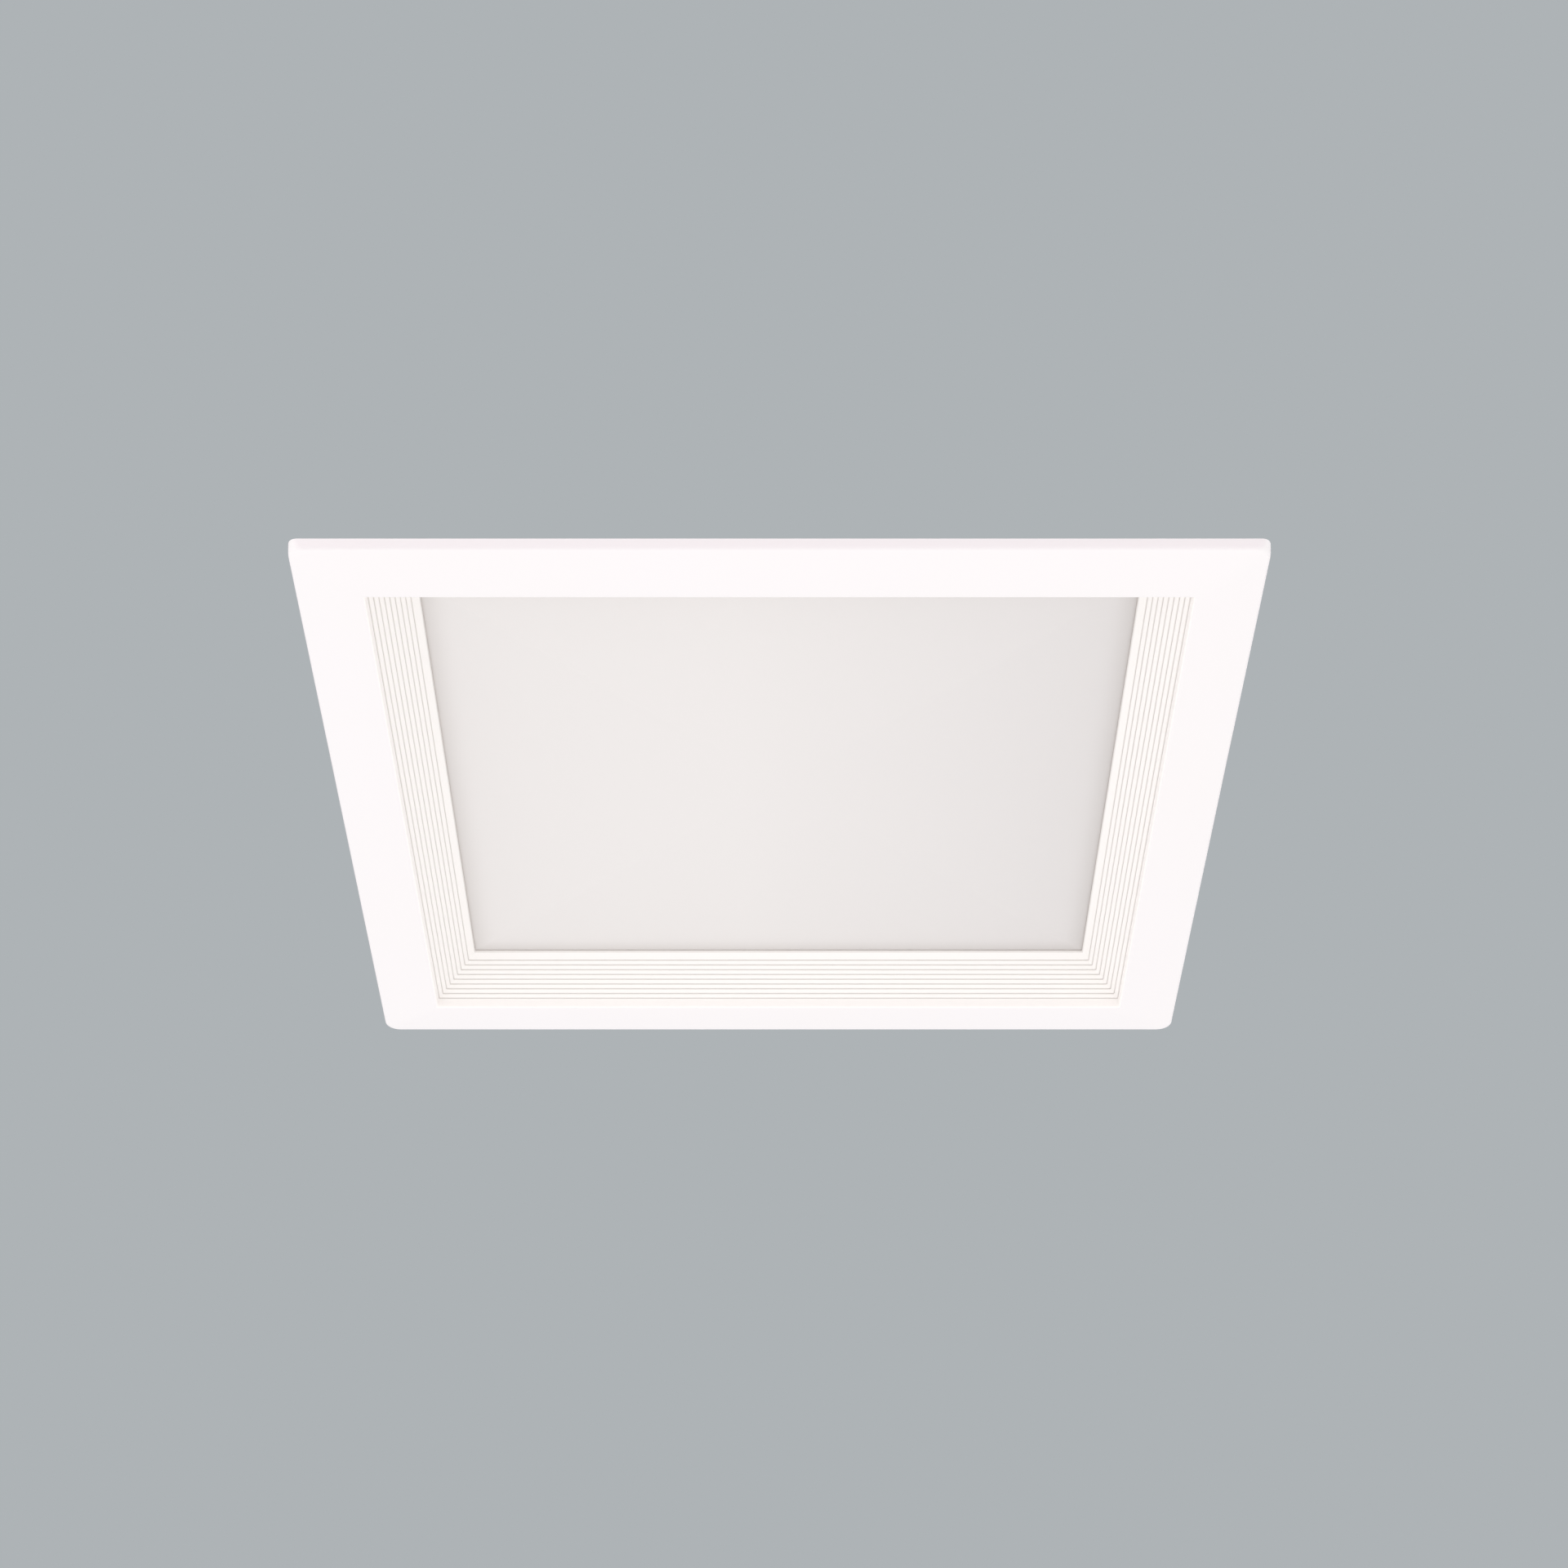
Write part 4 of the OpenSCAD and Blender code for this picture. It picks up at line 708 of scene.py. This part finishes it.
roof_t, fin_h, fin_t, fin_pitch, fin_n = 4.0, 12.0, 1.8, 8.6, 20
roof_in_z = box_mm("heat_sink")[0][2]
roof_z = roof_in_z + roof_t
fin_reach = wall_out - 2
tray_low, tray_high = box_mm("driver_tray")
tray_clear = tray_high[0] + 3
lead_hole = (0, -(wall_in - 4.2))
lead_hole_r, lead_flange = 3.0, 0.9
fins = []
for i in range(fin_n):
    fin_x = (i - (fin_n - 1) / 2) * fin_pitch
    if abs(fin_x) - fin_t / 2 > lead_hole_r + lead_flange + 0.3:
        fin_end = fin_reach if abs(fin_x) > tray_clear else tray_low[1] - 4
        half, middle = (fin_end + fin_reach) / 2, (fin_end - fin_reach) / 2
        fin_rings = [(a, half + b, roof_z + c, a) for a, b, c in (
            (1.7, 0.7, -0.1), (1.7, 0.7, 0), (1.25, 0.3, 0.25), (0.96, 0, 0.8), (0.8, -0.15, 11.3),
            (0.68, -0.25, 11.7), (0.4, -0.5, 11.95), (0.15, -0.7, 12))]
        fins.append(plate_shell([(0, 0, roof_z - 0.1, 0)] + fin_rings + [(0, 0, roof_z + fin_h, 0)],
                                (fin_x, middle), 4))
roof_rings = soft_rings(wall_out, wall_out, roof_in_z, roof_z, wall_corner, 1.0)
roof = piece("heat_sink_roof", casting, [plate_shell(roof_rings)], "heat_sink")
drilled(roof, [spun([(0, roof_in_z - 2), (lead_hole_r + 0.05, roof_in_z - 2),
                     (lead_hole_r + 0.05, roof_z + 2), (0, roof_z + 2)], (*lead_hole, 0), sides=48)])
piece("heat_sink_fins", casting, fins, "heat_sink")
eye_x, eye_r, eye_ring, eye_t = 60.2, 3.0, 3.0, 4.0
eye_at = (fin_reach - 12, roof_z + fin_h + 6)


def safety_eye():
    """A plate that ends in a ring. Its outline, seen from the hole's middle, is the nearer of the
    round end and the plate's two sides and foot. The section goes round each rounded edge, as
    (share of the way from hole to outline, offset along that way, offset across)."""
    turn = full_turn(64)
    cosine, sine = np.maximum(np.abs(np.cos(turn)), 1e-9), np.maximum(-np.sin(turn), 1e-9)
    outer = np.where(np.sin(turn) > 0, eye_r + eye_ring,
                     np.minimum((eye_r + eye_ring) / cosine, (eye_at[1] - roof_z + 0.2) / sine))
    half = eye_t / 2
    section = np.array([(0, 0, half - 0.6), (0, 0.2, half - 0.2), (0, 0.6, half), (1, -0.8, half),
                        (1, -0.25, half - 0.25), (1, 0, half - 0.8)])
    share, along, across = join([section, section[::-1] * (1, 1, -1)]).T[:, :, None]
    reach = eye_r + share * (outer - eye_r) + along
    points = stacked(eye_x + across, eye_at[0] + reach * np.cos(turn), eye_at[1] + reach * np.sin(turn))
    return gridded(points, loop=True)


tray_screws_at = [(x, y) for x in (17, -17) for y in (tray_low[1] + 22, 59)]
post_profile = [(0, roof_z - 0.1), (5.4, roof_z - 0.1), (5.4, roof_z), (4.7, roof_z + 0.25),
                (4.15, roof_z + 0.9), (4, tray_low[2] - 0.3), (3.8, tray_low[2]), (0, tray_low[2])]
ejector = [(0, roof_z - 0.1), (2.5, roof_z - 0.1), (2.5, roof_z + 0.1), (2.35, roof_z + 0.2),
           (0, roof_z + 0.15)]
ejectors_at = [(x * fin_pitch, y) for x in (-9, -6, 6, 9) for y in (-62, 0, 55)]
piece("heat_sink_eye_and_posts", casting,
      [safety_eye()] + [spun(post_profile, (*at, 0), sides=40) for at in tray_screws_at]
      + [spun(ejector, (*at, 0)) for at in ejectors_at], "heat_sink")


# Leads
# A red and a black lead run from the LED board up through a rubber grommet in the roof, over to the
# driver box, and through a second grommet to the driver board's output connector.
def grommet(at, aim, bore, body, flange, wall):
    """A rubber ring in a wall whose outer face is at the place: a flange on each side of the wall
    and a neck in its hole."""
    t = grommet_t
    ring = [(bore, -wall - t), (flange, -wall - t), (flange, -wall), (body, -wall), (body, 0),
            (flange, 0), (flange, t), (bore, t)]
    return spun(rounded(ring, [0.5, 0.5, 0.2, 0.1, 0.1, 0.2, 0.6, 0.5]), at, aim, 40, True)


def swept(path, side, radius, sides=12):
    """A round wire along a path of points. Round each point stands a ring: the radius times the
    cosine of the turn on the side direction plus the sine on the cross product of path and side.
    The side direction is squared up to the path first, and flat ends close on the path."""
    along = np.gradient(path, axis=0)
    along /= np.linalg.norm(along, axis=1, keepdims=True)
    side = side - np.sum(side * along, axis=1, keepdims=True) * along
    side /= np.linalg.norm(side, axis=1, keepdims=True)
    turn = full_turn(sides)[None, :, None]
    ring = radius * (np.cos(turn) * side[:, None] + np.sin(turn) * np.cross(along, side)[:, None])
    first, last = (np.broadcast_to(end, (1, sides, 3)) for end in path[[0, -1]])
    return gridded(join([first, path[:, None] + ring, last]))


def smooth_path(knots, steps):
    """A Catmull-Rom curve through the knots: the cubic whose slope at each knot is half the
    difference of its two neighbours."""
    padded = join([knots[:1], knots, knots[-1:]])
    a, b, c, d = (padded[i:len(padded) - 3 + i, None] for i in range(4))
    t = np.linspace(0, 1, steps, endpoint=False)[None, :, None]
    curve = 0.5 * (2 * b + (c - a) * t + (2 * a - 5 * b + 4 * c - d) * t ** 2
                   + (3 * b - a - 3 * c + d) * t ** 3)
    return join([curve.reshape(-1, knots.shape[1]), knots[-1:]])


grommet_t = 1.4
circuit_top_z = box_mm("driver_board")[1][2]
lead_exit_z = circuit_top_z + 3.4
rubber = "black_rubber", varied("black_rubber", (0.05, 0.05, 0.05), 0.6, 0.15, 900, 0.02)
piece("lead_grommet_pair", rubber,
      [grommet((*lead_hole, roof_z), (0, 0, 1), 2.1, lead_hole_r, lead_hole_r + lead_flange, roof_t),
       grommet((0, tray_low[1], lead_exit_z), (0, -1, 0), 2.1, 2.5, 2.5 + lead_flange, 2.0)],
      "lead_grommets")
lead_knots = np.array([
    (plug_y, plug_mid_z), (plug_y - 1.4, plug_mid_z), (lead_hole[1] + 1.4, plug_mid_z + 0.8),
    (lead_hole[1], plug_mid_z + 3), (lead_hole[1], roof_in_z + 1), (lead_hole[1], roof_z + 1.5),
    (lead_hole[1] + 1.2, roof_z + 5.5), (lead_hole[1] + 5, lead_exit_z - 4.6),
    (tray_low[1] - 9, lead_exit_z - 1.2), (tray_low[1] - 4, lead_exit_z),
    (tray_low[1] + 1, lead_exit_z), (box_mm("output_connector")[0][1], lead_exit_z)])
lead_path = smooth_path(lead_knots, 8)
for lead_name, lead_side, lead_colour in (("red", 1, (0.6, 0.05, 0.04)), ("black", -1, 3 * (0.035,))):
    pvc = lead_name + "_pvc"
    insulation = pvc, varied(pvc, lead_colour, 0.35, 0.1, 1200, 0.006, Coat_Weight=0.2)
    wire = swept(np.insert(lead_path, 0, lead_side * lead_x, axis=1), (1, 0, 0), 0.75)
    piece(lead_name + "_wire", insulation, [wire], lead_name + "_lead")


# Driver box
# A moulded white tray on the heat sink's four posts, fixed by four screws through its floor. It
# holds the driver board, and its far end is the mains compartment.
driver_plastic = "driver_plastic", varied("driver_plastic", (0.86, 0.86, 0.84), 0.48, 0.01, 1300, 0.012)
softened("driver_box", "driver_tray", driver_plastic, 0.5, 3)
screws("tray_screw_set", "tray_screws", tray_screws_at)


# Driver board
# A green glass-fibre board on four posts of the tray. It carries a flyback supply: a transformer
# on a ferrite core, a two-coil choke, capacitors, a bridge, a switching transistor on an aluminium
# tab, a controller chip, a fuse and the lead connector.
board_start = box_mm("driver_board")[0][1]
green_mask = coated_board(
    "green_mask", (0.1, 0.29, 0.13), (0.125, 0.345, 0.155), 210.0, 0.35, Coat_Weight=0.2)
softened("driver_circuit", "driver_board", ("circuit_green", green_mask), 0.12)
board_screws = [pan_screw((x, y, circuit_top_z), (0, 0, 1), 3.8)
                for x in (24, -24) for y in (board_start + 6, 22)]
piece("driver_board_screw_set", zinc, board_screws, "driver_board_screws")


def block(centre, size, z_low, corner, edge):
    """A solid block with rounded corners and edges, on its centre and at a height."""
    rings = soft_rings(size[0] / 2, size[1] / 2, z_low, z_low + size[2], corner, edge)
    return plate_shell(rings, centre, 4)


def moulded(name, node, look, corner, edge):
    """A piece that fills its CAD node's box."""
    low, high = box_mm(node)
    piece(name, look, [block((low + high)[:2] / 2, high - low, low[2], corner, edge)], node)


def mirrored(half):
    """A spun profile from its upper half, with the same points turned upside down before them."""
    half = np.asarray(half, float)
    return join([half[::-1] * (1, -1), half])


ferrite = "ferrite", varied("ground_ferrite", (0.12, 0.12, 0.13), 0.55, 0.12, 1500, 0.02)
softened("transformer_ferrite", "transformer_core", ferrite, 0.35)
winding_low, winding_high = box_mm("transformer_winding")
winding_mid = node_mid("transformer_winding")
coil_mid = (*winding_mid[:2], node_mid("transformer_core")[2])
cheek = (winding_high[0] - winding_low[0], 2.2, winding_high[2] - winding_low[2])
black_moulding = "chip_black", varied("black_moulding", (0.05, 0.05, 0.055), 0.4, 0.12, 1800, 0.008)
tape = varied("polyester_tape", (0.85, 0.66, 0.1), 0.25, 0.04, 500, 0.01, stretch=(1, 0.1, 1))
piece("transformer_bobbin", black_moulding,
      [block((winding_mid[0], winding_mid[1] + s * 8.1), cheek, winding_low[2], 0.5, 0.3)
       for s in (1, -1)], "transformer_winding")
tape_steps = mirrored([
    (4.7, 4.9), (4.45, 5.0), (4.45, 6.0), (4.2, 6.1), (4.2, 6.9), (4.1, 7.0), (0, 7.0)])
piece("transformer_coil", ("yellow_tape", tape), [spun(tape_steps, coil_mid, (0, 1, 0), 48)],
      "transformer_winding")
choke_mid, choke_section = node_mid("choke_core"), rounded([(4, -3), (7, -3), (7, 3), (4, 3)], 0.7)
ring_green = "ring_core_green", varied("ring_coating", (0.08, 0.3, 0.16), 0.35, 0.08, 1200, 0.01)
piece("choke_ring", ring_green, [spun(choke_section, choke_mid, (0, 1, 0), 48, True)], "choke_core")


def choke_coil(start, turns=8, reach=150, per_turn=24):
    """Wire wound round the ring. Its middle line goes round a squared-off oval, the fourth-power
    ellipse about the ring's section, while it travels along the ring by the reach in degrees."""
    t = np.linspace(0, 1, turns * per_turn + 1)
    across, along = np.cos(2 * np.pi * turns * t), np.sin(2 * np.pi * turns * t)
    across, along = (np.sign(v) * np.sqrt(np.abs(v)) for v in (across, along))
    ring = np.radians(start + reach * t)
    outward = stacked(np.cos(ring), 0, np.sin(ring))
    radial, axial = 5.5 + 2.1 * across, 3.6 * along
    path = choke_mid + radial[:, None] * outward + np.outer(axial, (0, 1, 0))
    side = (across / 2.1)[:, None] * outward + np.outer(along / 3.6, (0, 1, 0))
    return swept(path, side, 0.5, 8)


copper = varied("enamelled_copper", (0.6, 0.27, 0.12), 0.22, 0.1, 1500, 0.004, 1.0, patch=200)
piece("choke_coils", ("copper_wire", copper), [choke_coil(105), choke_coil(-75)], "choke_winding")
film_yellow = "capacitor_yellow", varied("yellow_moulding", (0.86, 0.62, 0.06), 0.3, 0.03, 1200, 0.008)
moulded("film_capacitor_box", "film_capacitor", film_yellow, 0.8, 0.6)
cans = {"input_capacitor": [((-17, -16), 6.5, 17)],
        "output_capacitors": [((-18, -36), 5.0, 15), ((-6, -38), 4.0, 13)]}
sleeve_finish = "capacitor_sleeve", varied("shrink_sleeve", (0.05, 0.07, 0.2), 0.28, 0.1, 900, 0.006)
can_metal = "tab_aluminium", varied("can_aluminium", (0.78, 0.78, 0.79), 0.35, 0.04, 2500, 0.004, 1.0)
for can_node, places in cans.items():
    sleeves, tops = [], []
    for at, r, h in places:
        sleeve = [(0, 0), (r - 0.7, 0), (r - 0.15, 0.25), (r, 0.8), (r, 1.7), (r - 0.45, 2.3), (r, 2.9),
                  (r, h - 1.0), (r - 0.2, h - 0.4), (r - 0.6, h - 0.05), (r - 1.1, h - 0.02),
                  (r - 1.15, h - 0.3), (0, h - 0.3)]
        top = [(0, h - 0.35), (r - 1.2, h - 0.35), (r - 1.2, h - 0.2), (r - 1.5, h - 0.12), (0, h - 0.1)]
        sleeves.append(spun(sleeve, (*at, circuit_top_z), sides=40))
        tops.append(spun(top, (*at, circuit_top_z), sides=40))
    piece(can_node + "_sleeves", sleeve_finish, sleeves, can_node)
    piece(can_node + "_tops", can_metal, tops, can_node)
moulded("bridge_body", "bridge_rectifier", black_moulding, 0.4, 0.4)
softened("transistor_body", "switching_transistor", black_moulding, 0.3)
softened("transistor_tab", "heat_tab", can_metal, 0.15)
moulded("controller_body", "controller_chip", black_moulding, 0.2, 0.15)
chip_low, chip_mid = box_mm("controller_chip")[0], node_mid("controller_chip")
leg_steps = ((2.7, 0.6, 0.6), (3.1, 0.4, 0.3), (3.5, 0.7, 0))
piece("controller_legs", zinc,
      [block((chip_mid[0] + k * 1.27, chip_mid[1] + s * y), (0.42, length, 0.2), chip_low[2] + z,
             0.1, 0.05) for k in (-1.5, -0.5, 0.5, 1.5) for s in (1, -1) for y, length, z in leg_steps],
      "controller_chip")
fuse_low, fuse_high = box_mm("fuse")
fuse_mid, fuse_r, fuse_h = node_mid("fuse"), (fuse_high[0] - fuse_low[0]) / 2, fuse_high[2] - fuse_low[2]
fuse_profile = [
    (0, 0), (fuse_r - 0.3, 0), (fuse_r, 0.3), (fuse_r, 1.2), (fuse_r - 0.15, 1.35),
    (fuse_r - 0.15, 1.6), (fuse_r, 1.75), (fuse_r, fuse_h - 0.9), (fuse_r - 0.25, fuse_h - 0.3),
    (fuse_r - 0.9, fuse_h), (0, fuse_h)]
fuse_brown = "fuse_brown", varied("fuse_brown", (0.2, 0.09, 0.05), 0.35, 0.08, 1200, 0.006)
piece("fuse_cap", fuse_brown, [spun(fuse_profile, (*fuse_mid[:2], fuse_low[2]), sides=40)], "fuse")
plug("output_plug", "output_connector", 0.3, lead_exit_z)


# Mains terminals
# A grey three-pole terminal block. In each pole a slotted screw closes a brass cage on the wire.
polyamide = "terminal_grey", varied("grey_polyamide", (0.6, 0.61, 0.62), 0.42, 0.02, 1400, 0.008)
softened("terminal_body", "terminal_block", polyamide, 0.35)
brass = varied("bright_brass", (0.78, 0.6, 0.28), 0.28, 0.05, 2000, 0.004, 1.0, patch=200)
softened("terminal_cages", "terminal_clamps", ("terminal_brass", brass), 0.2)
softened("terminal_screw_set", "terminal_screws", zinc, 0.2)


# Cable clamp and grommets
# Two screws pull a moulded bar down on the mains cables. Outside it each cable has a rubber grommet
# in the tray's end wall. The photograph shows no cable, so none is fitted.
softened("clamp_bar", "cable_clamp", driver_plastic, 0.6, 3)
clamp_y = node_mid("cable_clamp")[1]
screws("clamp_screw_pair", "cable_clamp_screws", [(24, clamp_y), (-24, clamp_y)])
entry_z = circuit_top_z + 7.5
piece("cable_grommet_pair", rubber,
      [grommet((x, 80, entry_z), (0, 1, 0), 3.9, 4.9, 6.5, 2.0) for x in (11, -11)], "cable_grommets")


# Cover, lid and hinge
# A moulded cover is screwed to the tray over the board. A lid closes the mains compartment and
# turns on a steel pin in the cover's knuckles. A tab on the lid's free edge lifts it.
softened("cover", "driver_cover", driver_plastic, 0.45, 3)
softened("lid", "terminal_lid", driver_plastic, 0.45, 3, body="lid")
screws("cover_screw_set", "cover_screws", [(x, y) for x in (32, -32) for y in (tray_low[1] + 4.8, 33)])
pin_low, pin_high = box_mm("lid_pin")
pin_r, pin_half = (pin_high[2] - pin_low[2]) / 2, pin_high[0]
pin_profile = mirrored([(pin_r, pin_half - 0.3), (pin_r - 0.3, pin_half), (0, pin_half)])
piece("hinge_pin", zinc, [spun(pin_profile, node_mid("lid_pin"), (1, 0, 0))], "lid_pin")


# Spring clips
# On each side a zinc-plated bracket carries a riveted pin, a stamped arm with a soft tip, and a
# double torsion spring. The spring's legs press on the bracket and its loop presses on the arm.
# Each half of the spring is a piece of its own, on no body.
clip_x, clip_z, coil_r, wire_r = wall_out + 5.5, foot_top_z + 10.5, 3.4, 0.6
droop, coil_angle = radians(27), radians(4 * 360 + 90 + 27)
coil_width = 1.7 * coil_angle / (2 * pi)
coil_end, leg_len, loop_len = 10.1, 8.0, 15.0
coil_start = coil_end - coil_width
sheet_steel = "clip_steel", varied(
    "plated_sheet", (0.68, 0.69, 0.7), 0.42, 0.05, 1500, 0.006, 1.0, patch=150)
spring_wire = varied("spring_wire", (0.62, 0.63, 0.65), 0.22, 0.06, 2500, 0.003, 1.0, patch=400)
tip_rubber = "tip_plastic", varied("soft_tip", (0.1, 0.1, 0.1), 0.55, 0.12, 900, 0.015)


def spring_half(out, along):
    """Half of a double torsion spring, on the sides of X and Y that out and along say. The wire
    rises in its leg, winds round the pin at a constant radius while it moves inwards, and leaves
    along the arm, where a quarter circle ends it. Each part is columns of x, y and z from the pin's
    middle, and of the x and z of a side direction that points away from the pin's axis."""
    rise = np.linspace(leg_len, 0, 9)[:-1]
    share = np.linspace(0, 1, 130)
    turn = pi - share * coil_angle
    run = np.linspace(0, loop_len - coil_start, 9)[1:-1]
    bend = np.linspace(0, pi / 2, 12)
    arm_x, arm_z = (cos(droop), -sin(droop)), (sin(droop), cos(droop))
    forward = join([run, loop_len - coil_start * (1 - np.sin(bend))])
    inward = join([np.full(len(run), coil_start), coil_start * np.cos(bend)])
    leg = stacked(-coil_r, coil_end, -rise, -1, 0)
    coil = stacked(coil_r * np.cos(turn), coil_end - share * coil_width, coil_r * np.sin(turn),
                   np.cos(turn), np.sin(turn))
    arm = stacked(forward * arm_x[0] + coil_r * arm_z[0], inward,
                  forward * arm_x[1] + coil_r * arm_z[1], *arm_z)
    x, y, z, side_x, side_z = join([leg, coil, arm]).T
    path = stacked(out * (clip_x + x), along * y, clip_z + z)
    return swept(path, stacked(out * side_x, 0, side_z), wire_r, 14)


rivet = mirrored([
    (1.25, 13.8), (2.05, 13.8), (2.2, 13.95), (2.2, 14.4), (1.9, 14.7), (1.2, 14.8), (0, 14.8)])
for side_name, out in (("right", 1), ("left", -1)):
    clip, node = side_name + "_clip", side_name + "_clip_"
    softened(node + "plate", node + "bracket", sheet_steel, 0.35, 3)
    softened(node + "lever", node + "arm", sheet_steel, 0.3, 3, body=clip)
    softened(node + "pad", node + "tip", tip_rubber, 0.45, 3, body=clip)
    piece(side_name + "_bracket_screw_pair", zinc,
          [pan_screw((out * (wall_out + 1.2), y, clip_z), (out, 0, 0), 3.9) for y in (19, -19)],
          side_name + "_bracket_screws")
    piece(node + "rivet", zinc, [spun(rivet, (out * clip_x, 0, clip_z), (0, 1, 0), 40)], node + "pin")
    for half_name, along in (("front", -1), ("rear", 1)):
        half = piece(f"{side_name}_spring_{half_name}", ("spring_steel", spring_wire),
                     [spring_half(out, along)], node + "spring", body=None)
        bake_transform(half)
